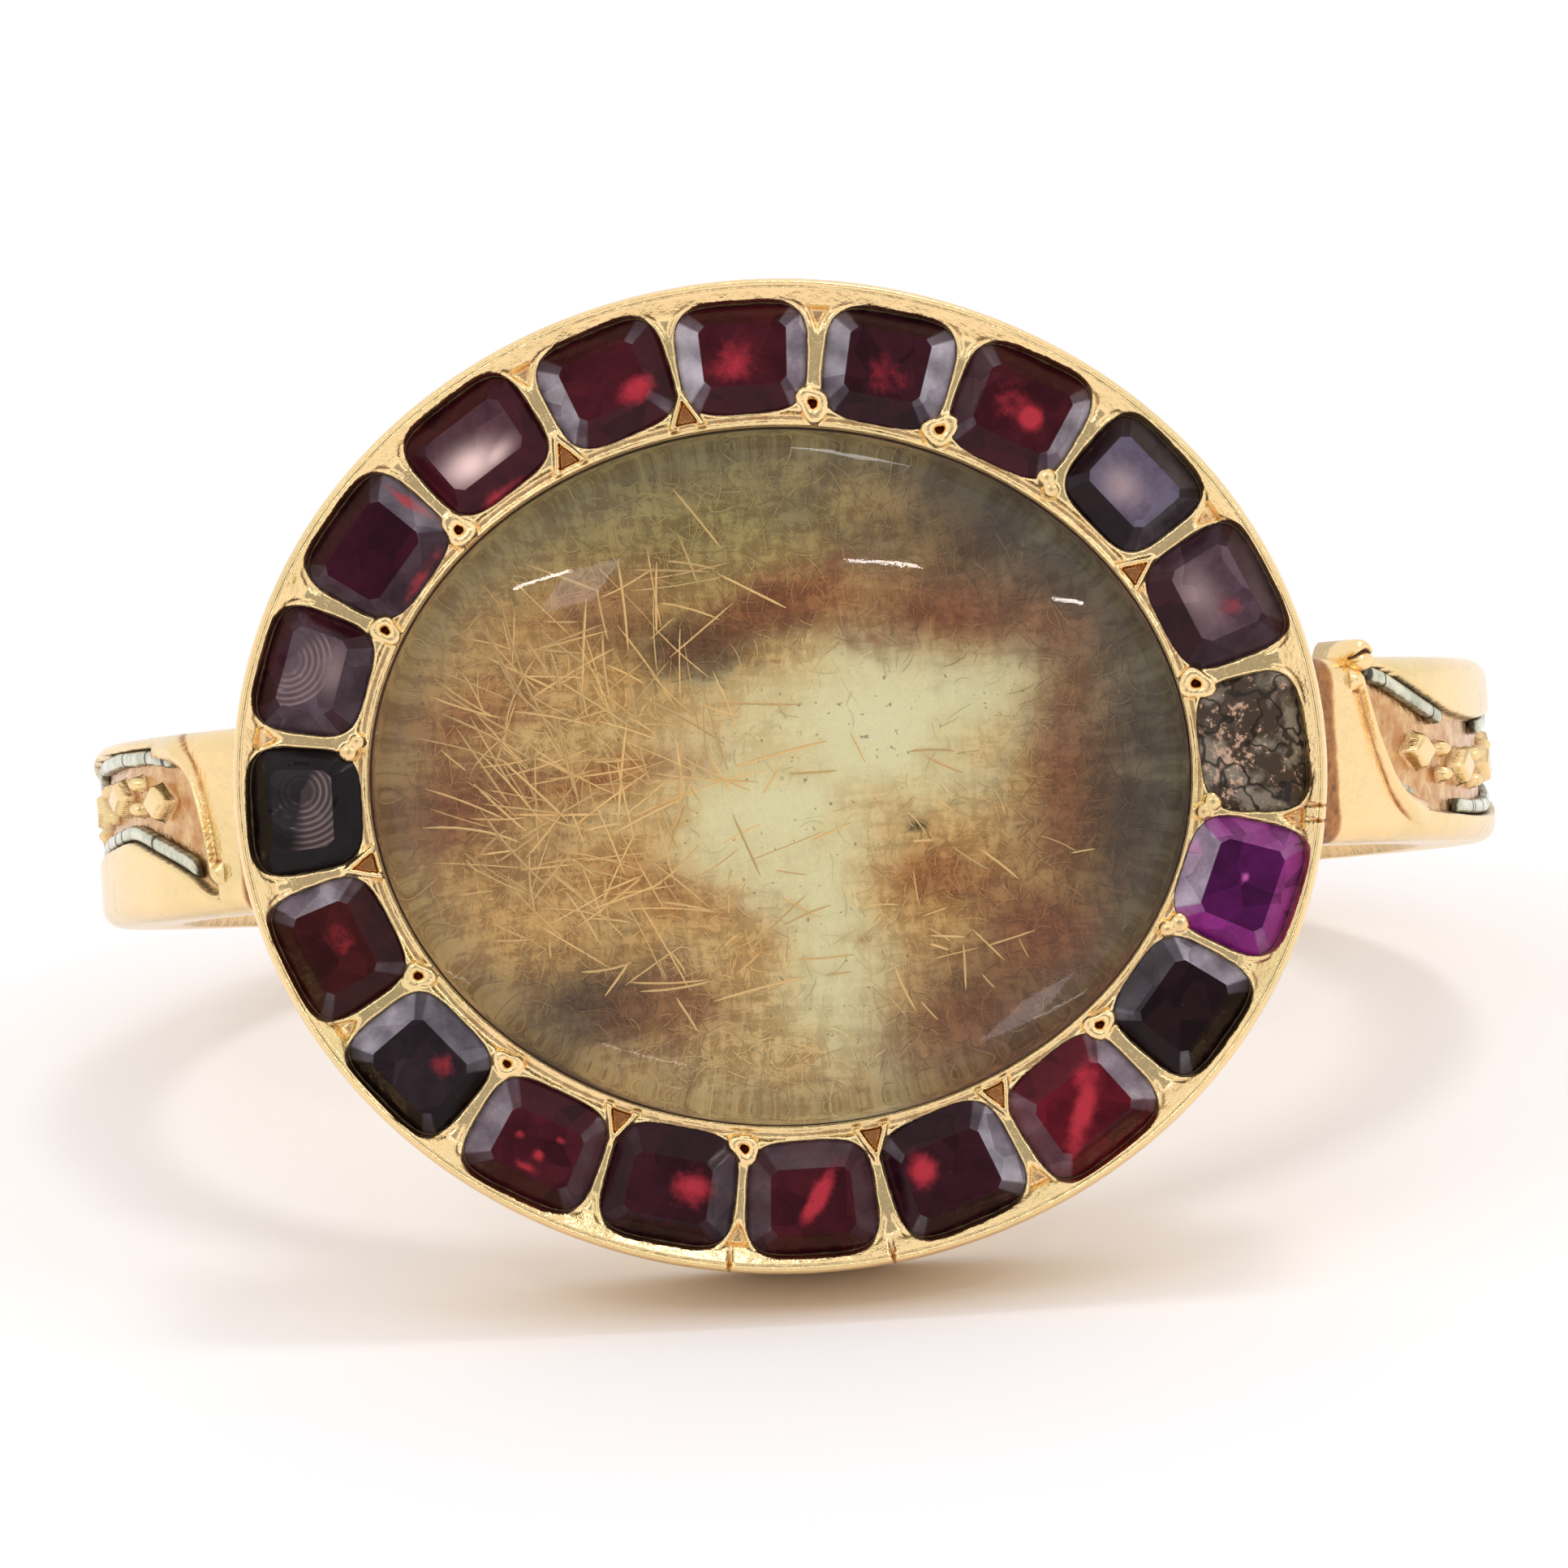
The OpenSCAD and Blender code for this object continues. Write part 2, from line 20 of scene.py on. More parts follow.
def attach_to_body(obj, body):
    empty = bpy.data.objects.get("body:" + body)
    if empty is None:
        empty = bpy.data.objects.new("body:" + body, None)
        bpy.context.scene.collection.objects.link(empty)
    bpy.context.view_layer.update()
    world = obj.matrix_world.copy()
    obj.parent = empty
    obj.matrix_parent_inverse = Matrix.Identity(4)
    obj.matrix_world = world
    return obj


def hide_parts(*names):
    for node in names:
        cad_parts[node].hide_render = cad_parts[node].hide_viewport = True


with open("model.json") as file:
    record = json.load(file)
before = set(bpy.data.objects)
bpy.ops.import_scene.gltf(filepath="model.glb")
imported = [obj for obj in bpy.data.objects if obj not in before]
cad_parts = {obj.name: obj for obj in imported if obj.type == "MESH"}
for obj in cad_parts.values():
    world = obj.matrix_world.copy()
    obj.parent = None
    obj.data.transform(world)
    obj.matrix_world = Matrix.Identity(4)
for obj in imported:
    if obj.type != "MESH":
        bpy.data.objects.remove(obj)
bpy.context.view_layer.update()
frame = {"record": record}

log = logging.getLogger("mourning_ring")
Array = np.ndarray
Colour = tuple[float, float, float]
Piece = bpy.types.Object
Finish = bpy.types.Material
MM = 0.001
SEED = 1786
BODY = "root"
TINY = 1e-9
FINE_STEPS = 4001


def turn_x(degrees: float) -> Array:
    """Returns the matrix that turns by an angle about X."""
    c, s = math.cos(math.radians(degrees)), math.sin(math.radians(degrees))
    return np.array([[1, 0, 0], [0, c, -s], [0, s, c]])


def turn_y(degrees: float) -> Array:
    """Returns the matrix that turns by an angle about Y."""
    c, s = math.cos(math.radians(degrees)), math.sin(math.radians(degrees))
    return np.array([[c, 0, s], [0, 1, 0], [-s, 0, c]])


@dataclass(frozen=True)
class RingFrame:
    """Where the head and the hoop of the lying ring are in the part's frame."""

    centre: tuple[float, float, float]
    lean: float
    hoop_roll: float
    hoop_turn: float = 3.5

    @classmethod
    def from_record(cls, record: dict) -> "RingFrame":
        """Reads the finger hole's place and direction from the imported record.

        Args:
            record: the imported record, whose first mount is the finger hole.

        Returns:
            The lying ring's frame.
        """
        hole = record["mounts"][0]
        x, y, z = hole["axis"]
        return cls(tuple(hole["pos_m"]), math.degrees(math.atan2(y, z)), math.degrees(math.asin(x)))

    def _place(self, points: Array, roll: float) -> Array:
        """Turns points of the ring, in millimetres, and carries them to the part's frame in metres."""
        turned = points @ (turn_x(-self.lean) @ turn_y(roll)).T
        return turned * MM + np.array(self.centre)

    def head(self, points: Array) -> Array:
        """Carries points of the head's frame to the part's frame."""
        ring = np.stack([points[..., 0], -points[..., 2], points[..., 1]], -1)
        return self._place(ring, self.hoop_roll + self.hoop_turn)

    def hoop(self, angle: Array, radius: Array, height: Array) -> Array:
        """Carries places on the hoop (degrees, millimetres) to the part's frame."""
        a = np.radians(angle)
        return self._place(np.stack([radius * np.sin(a), -radius * np.cos(a), height], -1), self.hoop_roll)


def smoothstep(edge: float, value: Array) -> Array:
    """Returns 0 below minus edge, 1 above edge, and a smooth S between them."""
    t = np.clip((value + edge) / (2 * edge), 0, 1)
    return t * t * (3 - 2 * t)


def soft_max(a: Array, b: Array, reach: float) -> Array:
    """Returns the larger of two heights, blended as a fillet where they differ by less than reach."""
    mix = np.clip(0.5 + 0.5 * (a - b) / reach, 0, 1)
    return b + (a - b) * mix + reach * mix * (1 - mix)


def soft_min(a: Array, b: Array, reach: float) -> Array:
    """Returns the smaller of two heights, blended over reach."""
    return -soft_max(-a, -b, reach)


def graded(start: float, end: float, step: Callable[[Array], Array]) -> Array:
    """Places points from start to end, as far apart as step says at each place.

    Args:
        start: first place.
        end: last place.
        step: gives the wanted distance between neighbours at each place.

    Returns:
        The places, with both ends.
    """
    fine = np.linspace(start, end, FINE_STEPS)
    count = np.concatenate([[0], np.cumsum(np.diff(fine) / step((fine[1:] + fine[:-1]) / 2))])
    return np.interp(np.linspace(0, count[-1], int(round(count[-1])) + 1), count, fine)


class Form(Enum):
    """How a grid of points closes."""

    TUBE = "both ways, as a tube whose ends meet"
    CAPPED = "round each row, with a pole at the first and the last row"


def mesh_piece(name: str, points: Array, quads: Array, triangles: Array) -> Piece:
    """Makes a mesh object from arrays, with its faces turned outwards.

    Args:
        name: the piece's name.
        points: places in metres, one row each.
        quads: corners of the four-sided faces.
        triangles: corners of the three-sided faces.

    Returns:
        The new object, at the origin.
    """
    fans = np.concatenate([quads[:, [0, 1, 2]], quads[:, [0, 2, 3]], triangles])
    a, b, c = (points[fans[:, k]] - points.mean(0) for k in range(3))
    if np.einsum("ij,ij->i", a, np.cross(b, c)).sum() < 0:
        quads, triangles = quads[:, ::-1], triangles[:, ::-1]
    sizes = np.concatenate([np.full(len(quads), 4), np.full(len(triangles), 3)])
    loops = np.concatenate([quads.ravel(), triangles.ravel()]).astype(np.int32)
    mesh = bpy.data.meshes.new(name)
    mesh.vertices.add(len(points))
    mesh.vertices.foreach_set("co", points.astype(np.float32).ravel())
    mesh.loops.add(len(loops))
    mesh.loops.foreach_set("vertex_index", loops)
    mesh.polygons.add(len(sizes))
    mesh.polygons.foreach_set("loop_start", (np.cumsum(sizes) - sizes).astype(np.int32))
    mesh.update(calc_edges=True)
    mesh.polygons.foreach_set("use_smooth", np.ones(len(sizes), bool))
    mesh.validate()
    piece = bpy.data.objects.new(name, mesh)
    bpy.context.scene.collection.objects.link(piece)
    return piece


def grid_faces(rows: int, columns: int, wrap_rows: bool) -> Array:
    """Numbers the corners of a grid's quads, whose columns close round.

    Args:
        rows: how many rows of points it has.
        columns: how many points a row has.
        wrap_rows: whether the last row joins the first.

    Returns:
        Four corners for each quad.
    """
    last = rows if wrap_rows else rows - 1
    r, c = np.meshgrid(np.arange(last), np.arange(columns), indexing="ij")
    below, right = (r + 1) % rows, (c + 1) % columns
    return np.stack([r * columns + c, below * columns + c, below * columns + right, r * columns + right],
                    -1).reshape(-1, 4)


def grid_piece(name: str, points: Array, form: Form) -> Piece:
    """Makes a closed piece from a grid of points whose rows go round.

    Args:
        name: the piece's name.
        points: places in metres, as rows by columns by 3.
        form: how the grid closes.

    Returns:
        The new object.
    """
    rows, columns = points.shape[:2]
    flat = points.reshape(-1, 3)
    if form is Form.TUBE:
        return mesh_piece(name, flat, grid_faces(rows, columns, True), np.zeros((0, 3), int))
    ring = np.arange(columns)
    after = (ring + 1) % columns
    top, bottom = len(flat), len(flat) + 1
    last = (rows - 1) * columns
    fans = np.concatenate([np.stack([np.full(columns, top), ring, after], -1),
                           np.stack([np.full(columns, bottom), last + after, last + ring], -1)])
    flat = np.concatenate([flat, points[:1].mean(1), points[-1:].mean(1)])
    return mesh_piece(name, flat, grid_faces(rows, columns, False), fans)


def paint(piece: Piece, name: str, values: Array) -> None:
    """Gives a piece an attribute with a number or a colour for each point.

    Args:
        piece: a mesh object.
        name: the attribute's name, which a finish reads.
        values: a number or a colour for each point in order. The poles take the mean.
    """
    count = len(piece.data.vertices)
    flat = values.reshape(-1, 3) if values.ndim > 1 and values.shape[-1] == 3 else values.reshape(-1, 1)
    if len(flat) < count:
        flat = np.concatenate([flat, np.repeat(flat.mean(0)[None], count - len(flat), 0)])
    if flat.shape[1] == 1:
        layer = piece.data.attributes.new(name, "FLOAT", "POINT")
        layer.data.foreach_set("value", flat.astype(np.float32).ravel())
    else:
        layer = piece.data.attributes.new(name, "FLOAT_COLOR", "POINT")
        opaque = np.concatenate([flat, np.ones((count, 1))], 1)
        layer.data.foreach_set("color", opaque.astype(np.float32).ravel())


class Socket:
    """A shader's socket, whose arithmetic adds Math nodes."""

    def __init__(self, recipe: "Recipe", socket: bpy.types.NodeSocket) -> None:
        """Keeps the socket and the recipe that it belongs to."""
        self.recipe = recipe
        self.socket = socket

    def _with(self, operation: str, *values: "Socket | float") -> "Socket":
        """Returns the result of a Math node on some values."""
        return self.recipe.node("ShaderNodeMath", {"operation": operation}, dict(enumerate(values)))

    def __add__(self, other: "Socket | float") -> "Socket":
        """Returns self plus other."""
        return self._with("ADD", self, other)

    __radd__ = __add__

    def __sub__(self, other: "Socket | float") -> "Socket":
        """Returns self less other."""
        return self._with("SUBTRACT", self, other)

    def __rsub__(self, other: float) -> "Socket":
        """Returns other less self."""
        return self._with("SUBTRACT", other, self)

    def __mul__(self, other: "Socket | float") -> "Socket":
        """Returns self times other."""
        return self._with("MULTIPLY", self, other)

    __rmul__ = __mul__

    def above(self, edge: float, width: float) -> "Socket":
        """Returns 0 below the edge and 1 above it, over a soft width."""
        return self.recipe.node("ShaderNodeMapRange", {"interpolation_type": "SMOOTHSTEP"},
                                {"Value": self, "From Min": edge - width / 2, "From Max": edge + width / 2})


class Recipe:
    """Builds one material, or the surroundings, from nodes."""

    def __init__(self, owner: Finish | bpy.types.World) -> None:
        """Empties the owner's nodes and starts afresh.

        Args:
            owner: the material, or the surroundings.
        """
        self.owner = owner
        owner.use_nodes = True
        self.tree = owner.node_tree
        self.tree.nodes.clear()

    @classmethod
    def named(cls, name: str) -> "Recipe":
        """Starts an empty material with that name."""
        return cls(bpy.data.materials.new(name))

    def node(self, kind: str, settings: dict | None = None, inputs: dict | None = None,
             output: int | str = 0) -> Socket:
        """Adds a node.

        Args:
            kind: the node's type.
            settings: its properties, or for a ramp its stops under the name stops.
            inputs: numbers, colours or sockets for its inputs, by name or place.
            output: the output that the result stands for.

        Returns:
            The chosen output.
        """
        new = self.tree.nodes.new(kind)
        for key, value in (settings or {}).items():
            if key == "stops":
                self._set_stops(new.color_ramp, value)
            else:
                setattr(new, key, value)
        for key, value in (inputs or {}).items():
            if isinstance(value, Socket):
                self.tree.links.new(value.socket, new.inputs[key])
            else:
                new.inputs[key].default_value = value
        return Socket(self, new.outputs[output])

    @staticmethod
    def _set_stops(ramp: bpy.types.ColorRamp, stops: Sequence[tuple[float, Colour]]) -> None:
        """Puts places and colours into a ramp.

        Args:
            ramp: the ramp of a node.
            stops: a place from 0 to 1 and a colour for each stop.
        """
        while len(ramp.elements) < len(stops):
            ramp.elements.new(1.0)
        for element, (place, colour) in zip(ramp.elements, stops):
            element.position = place
            element.color = (*colour, 1.0)

    def place(self) -> Socket:
        """Returns the place on the piece in millimetres."""
        metres = self.node("ShaderNodeTexCoord", output="Object")
        return self.node("ShaderNodeVectorMath", {"operation": "SCALE"}, {0: metres, "Scale": 1 / MM})

    def noise(self, scale: float, detail: float = 3.0, rough: float = 0.5,
              stretch: Sequence[float] = (1, 1, 1), turn: float = 0.0) -> Socket:
        """Adds a soft noise of about 0 to 1.

        Args:
            scale: features a millimetre.
            detail: how many finer layers it has.
            rough: how strong the finer layers are.
            stretch: scale along each axis, where less is longer.
            turn: turn about Y in radians.

        Returns:
            The noise.
        """
        spot = self.node("ShaderNodeMapping", {}, {"Vector": self.place(), "Scale": tuple(stretch),
                                                   "Rotation": (0.0, turn, 0.0)})
        return self.node("ShaderNodeTexNoise", {}, {"Vector": spot, "Scale": scale, "Detail": detail,
                                                    "Roughness": rough})

    def attribute(self, name: str, output: str = "Fac") -> Socket:
        """Returns a painted attribute of the piece, as a number or with output Color as a colour."""
        return self.node("ShaderNodeAttribute", {"attribute_name": name}, output=output)

    def mix(self, share: "Socket | float", first: "Socket | Colour", second: "Socket | Colour",
            blend: str = "MIX") -> Socket:
        """Mixes two colours.

        Args:
            share: share of the second, from 0 to 1.
            first: the first colour.
            second: the second colour.
            blend: how the second lies over the first.

        Returns:
            The mixed colour.
        """
        values = {0: share, 6: first, 7: second}
        solid = {k: (*v, 1.0) if isinstance(v, tuple) else v for k, v in values.items()}
        return self.node("ShaderNodeMix", {"data_type": "RGBA", "blend_type": blend}, solid, output=2)

    def bump(self, height: Socket, depth: float, under: Socket | None = None) -> Socket:
        """Bends the normal by a height.

        Args:
            height: height from 0 to 1.
            depth: what it stands for, in millimetres.
            under: a normal that is bent already.

        Returns:
            The bent normal.
        """
        inputs = {"Height": height, "Distance": depth * MM, "Strength": 1.0}
        if under is not None:
            inputs["Normal"] = under
        return self.node("ShaderNodeBump", {}, inputs)

    def surface(self, **values: "Socket | float | Colour") -> Finish:
        """Ends the material with a Principled shader.

        Args:
            values: its inputs by name, with _ for a space.

        Returns:
            The material.
        """
        named = {k.replace("_", " "): (*v, 1.0) if isinstance(v, tuple) else v for k, v in values.items()}
        named = {("IOR" if k == "ior" else k): v for k, v in named.items()}
        shader = self.node("ShaderNodeBsdfPrincipled", {}, named)
        self.end(shader)
        return self.owner

    def end(self, shader: Socket, kind: str = "ShaderNodeOutputMaterial") -> None:
        """Links a shader to the output."""
        self.tree.links.new(shader.socket, self.tree.nodes.new(kind).inputs["Surface"])


@dataclass(frozen=True)
class OldGold:
    """Worn polished gold: bright where rubbed, coppery and dark with patina, soiling and painted shade."""

    name: str = "old_gold"
    bright: Colour = (0.96, 0.71, 0.36)
    green: Colour = (0.72, 0.60, 0.27)
    copper: Colour = (0.52, 0.23, 0.08)
    dirt: Colour = (0.045, 0.022, 0.012)

    def material(self) -> Finish:
        """Makes the gold from a painted coppery attribute and a dark one: patina, soiling and painted shade.

        Returns:
            The material.
        """
        r = Recipe.named(self.name)
        recess = r.attribute("recess")
        grime_and_shade = r.attribute("dirt")
        colour = r.mix(r.noise(0.55, 4, 0.6).above(0.58, 0.3) * 0.5, self.bright, self.green)
        # Coppery in the hollows: patina, and painted shade in grooves, pits and where the hoop runs under the
        # head.
        colour = r.mix((recess + r.noise(3.4, 5, 0.68) * 1.1 - 0.55).above(0.52, 0.75), colour, self.copper)
        # Dark where the gold is dirty, and painted shade along the stones and under the head.
        darkened = (grime_and_shade + r.noise(9.0, 3, 0.6) * 0.5 - 0.25).above(0.55, 0.45)
        colour = r.mix(darkened, colour, self.dirt)
        fine = r.noise(26.0, 4, 0.6)
        rough = 0.10 + recess * 0.12 + fine * 0.10 + darkened * 0.35
        normal = r.bump(fine, 0.003, r.bump(r.noise(3.0, 4, 0.55), 0.036))
        return r.surface(Base_Color=colour, Metallic=1.0 - darkened * 0.7, Roughness=rough, Normal=normal)


@dataclass(frozen=True)
class FoiledStone:
    """A glassy stone over foil.

    The attribute tint is its colour with painted shade, sheen and reflections; glow is painted light where
    the foil shines, and pale is a painted pale reflection. Noise adds patches of painted shade and painted
    glow.
    """

    name: str
    hot: Colour
    reflection_veil: Colour = (0.86, 0.62, 0.58)
    flame: float = 2.6
    crinkle: float = 0.0
    rough: float = 0.06
    shine: float = 0.16
    deep: Colour = (0.40, 0.34, 0.40)
    fold_dark: Colour = (0.060, 0.040, 0.027)
    fold_pale: Colour = (0.26, 0.225, 0.17)
    crack: Colour = (0.02, 0.014, 0.010)

    def material(self) -> Finish:
        """Makes the stone's finish.

        Returns:
            The material.
        """
        r = Recipe.named(self.name)
        cells = r.node("ShaderNodeTexVoronoi", {}, {"Vector": r.place(), "Scale": 1.9}, output="Color")
        depth = r.noise(self.flame, 5, 0.68)
        tint = r.attribute("tint", "Color")
        # Painted shade: in noisy patches the tint is darkened by deep, as if inner facets lay in shade.
        shaded = r.mix(1.0, tint, self.deep, "MULTIPLY")
        colour = r.mix((cells * 0.7 + depth * 1.3 - 0.5).above(0.5, 0.9), shaded, tint)
        # Painted light: flame-like glows of the hot colour where glow is painted.
        flame = (r.attribute("glow") * 1.35 + depth * 1.5 - 0.78).above(0.62, 0.9)
        colour = r.mix(flame * 0.8, colour, self.hot)
        if self.crinkle:
            # Crinkled foil: its pale and dark flats and its lit folds are painted reflections; the veins are
            # cracks.
            folds, flats = r.noise(7.0, 4, 0.75), r.noise(1.5, 5, 0.62)
            colour = r.mix(flats.above(0.52, 0.14) * self.crinkle, self.fold_dark, self.fold_pale)
            lit = (r.attribute("glow") * 0.4 + folds).above(0.62, 0.1)
            colour = r.mix(lit * self.crinkle, colour, self.hot)
            veins = r.noise(2.1, 2, 0.5)
            cracks = veins.above(0.478, 0.03) * (1.0 - veins.above(0.522, 0.03))
            colour = r.mix(cracks * 0.9, colour, self.crack)
        # Painted reflection: a pale tone where pale is painted.
        colour = r.mix(r.attribute("pale"), colour, self.reflection_veil)
        worn = r.noise(22.0, 4, 0.7)
        return r.surface(Base_Color=colour, Roughness=self.rough + worn.above(0.64, 0.2) * 0.25,
                         Specular_IOR_Level=self.shine, Normal=r.bump(worn, 0.0015))


@dataclass(frozen=True)
class ClearCrystal:
    """Polished rock crystal."""

    name: str = "rock_crystal"
    tint: Colour = (1.0, 0.995, 0.97)
    bends: float = 1.30

    def material(self) -> Finish:
        """Makes clear glass with fine wear.

        Returns:
            The material.
        """
        r = Recipe.named(self.name)
        worn = r.noise(5.0, 4, 0.6)
        return r.surface(Base_Color=self.tint, Roughness=0.008 + worn.above(0.68, 0.2) * 0.03,
                         ior=self.bends, Transmission_Weight=1.0, Normal=r.bump(worn, 0.0006))


@dataclass(frozen=True)
class Enamel:
    """Old pale enamel, crazed and stained along its edges."""

    name: str = "pale_enamel"
    pale: Colour = (0.80, 0.80, 0.62)
    grey: Colour = (0.44, 0.47, 0.33)
    stain: Colour = (0.05, 0.045, 0.025)

    def material(self) -> Finish:
        """Makes the enamel, which reads the gold's dark attribute, here its cracks and stains.

        Returns:
            The material.
        """
        r = Recipe.named(self.name)
        colour = r.mix(r.noise(2.6, 4, 0.65).above(0.5, 0.3), self.pale, self.grey)
        darkened = (r.attribute("dirt") + r.noise(8.0, 3, 0.6) * 0.5 - 0.25).above(0.55, 0.4)
        colour = r.mix(darkened, colour, self.stain)
        return r.surface(Base_Color=colour, Roughness=0.22 + darkened * 0.4, Coat_Weight=0.3,
                         Normal=r.bump(r.noise(12.0, 3, 0.6), 0.006))


@dataclass(frozen=True)
class Painted:
    """A matt finish with a fine grain, whose colour is painted as the attribute tint.

    Its light makes it glow in its own colour: painted light that stands for what the crystal gathers on it.
    """

    name: str
    grain: float = 24.0
    depth: float = 0.004
    rough: float = 0.8
    specks: float = 0.0
    light: float = 0.28
    strand: Colour = (0.60, 0.50, 0.38)
    ground: Colour = (0.72, 0.62, 0.48)
    speck: Colour = (0.10, 0.07, 0.04)

    def material(self) -> Finish:
        """Makes the finish. The attribute cover says where fine strands darken it.

        Returns:
            The material.
        """
        r = Recipe.named(self.name)
        grain = r.noise(self.grain, 4, 0.7)
        one = r.noise(7.0, 4, 0.7, (1, 1, 0.22), 0.5)
        other = r.noise(7.0, 4, 0.7, (0.22, 1, 1), 0.35)
        strands = (one * 0.5 + other * 0.5).above(0.5, 0.12) * r.attribute("cover")
        colour = r.mix(strands, r.attribute("tint", "Color"), self.strand, "MULTIPLY")
        colour = r.mix(grain.above(0.55, 0.6) * 0.3, colour, self.ground, "MULTIPLY")
        if self.specks:
            colour = r.mix(r.noise(11.0, 2, 0.5).above(0.71, 0.06) * self.specks, colour, self.speck)
        # Painted light: the finish glows in its own colour.
        return r.surface(Base_Color=colour, Roughness=self.rough, Normal=r.bump(grain, self.depth),
                         Emission_Color=colour, Emission_Strength=self.light)


class Cut(Enum):
    """What a stone is made of."""

    GARNET = "red garnet over foil"
    PASTE = "colourless paste over crinkled foil"
    PURPLE = "purple replacement stone"


@dataclass(frozen=True)
class Glow:
    """A painted spot of light, for a foil's glow and for a pale reflection, in shares of a stone's half
    sides.
    """

    x: float
    y: float
    wide: float
    high: float
    strength: float
    turn: float = 0.0


@dataclass(frozen=True)
class StoneSpec:
    """One stone: its outline against the even stone, its place, and its looks.

    Attributes:
        along: length along the row, as a share.
        across: width across the row, as a share.
        shift: moved along the row, in spacings.
        out: moved outwards, as a share of its width.
        turn: turned, in degrees.
        body: its own colour.
        bevel: colour of its sloped facets, as painted light and shade, or None for a body painted darker.
        bevel_reflections: how much painted grey reflection lies on its right, outer, left and inner facets.
        sheen: how much painted sheen lies on its table.
        glows: painted light where its foil shines.
        tilt: lean of its table to the right and upwards in its own frame, in degrees.
        cut: what it is made of.
        chips: broken shells as place along and across, radius and depth in shares of the crown's height.
        reflection_veils: pale painted reflections on its table.
    """

    along: float
    across: float
    shift: float
    out: float
    turn: float
    body: Colour
    bevel: Colour | None = None
    bevel_reflections: tuple[float, float, float, float] = (0.0, 0.0, 0.0, 0.0)
    sheen: float = 0.0
    glows: tuple[Glow, ...] = ()
    tilt: tuple[float, float] = (0.0, 0.0)
    cut: Cut = Cut.GARNET
    chips: tuple[tuple[float, float, float, float], ...] = ()
    reflection_veils: tuple[Glow, ...] = ()


WINE = (0.072, 0.008, 0.014)
PLUM = (0.040, 0.007, 0.013)
BLACK_RED = (0.017, 0.006, 0.008)
CRIMSON = (0.135, 0.007, 0.016)
MAUVE = (0.095, 0.030, 0.045)
REFLECTED_GREY = (0.66, 0.62, 0.68)

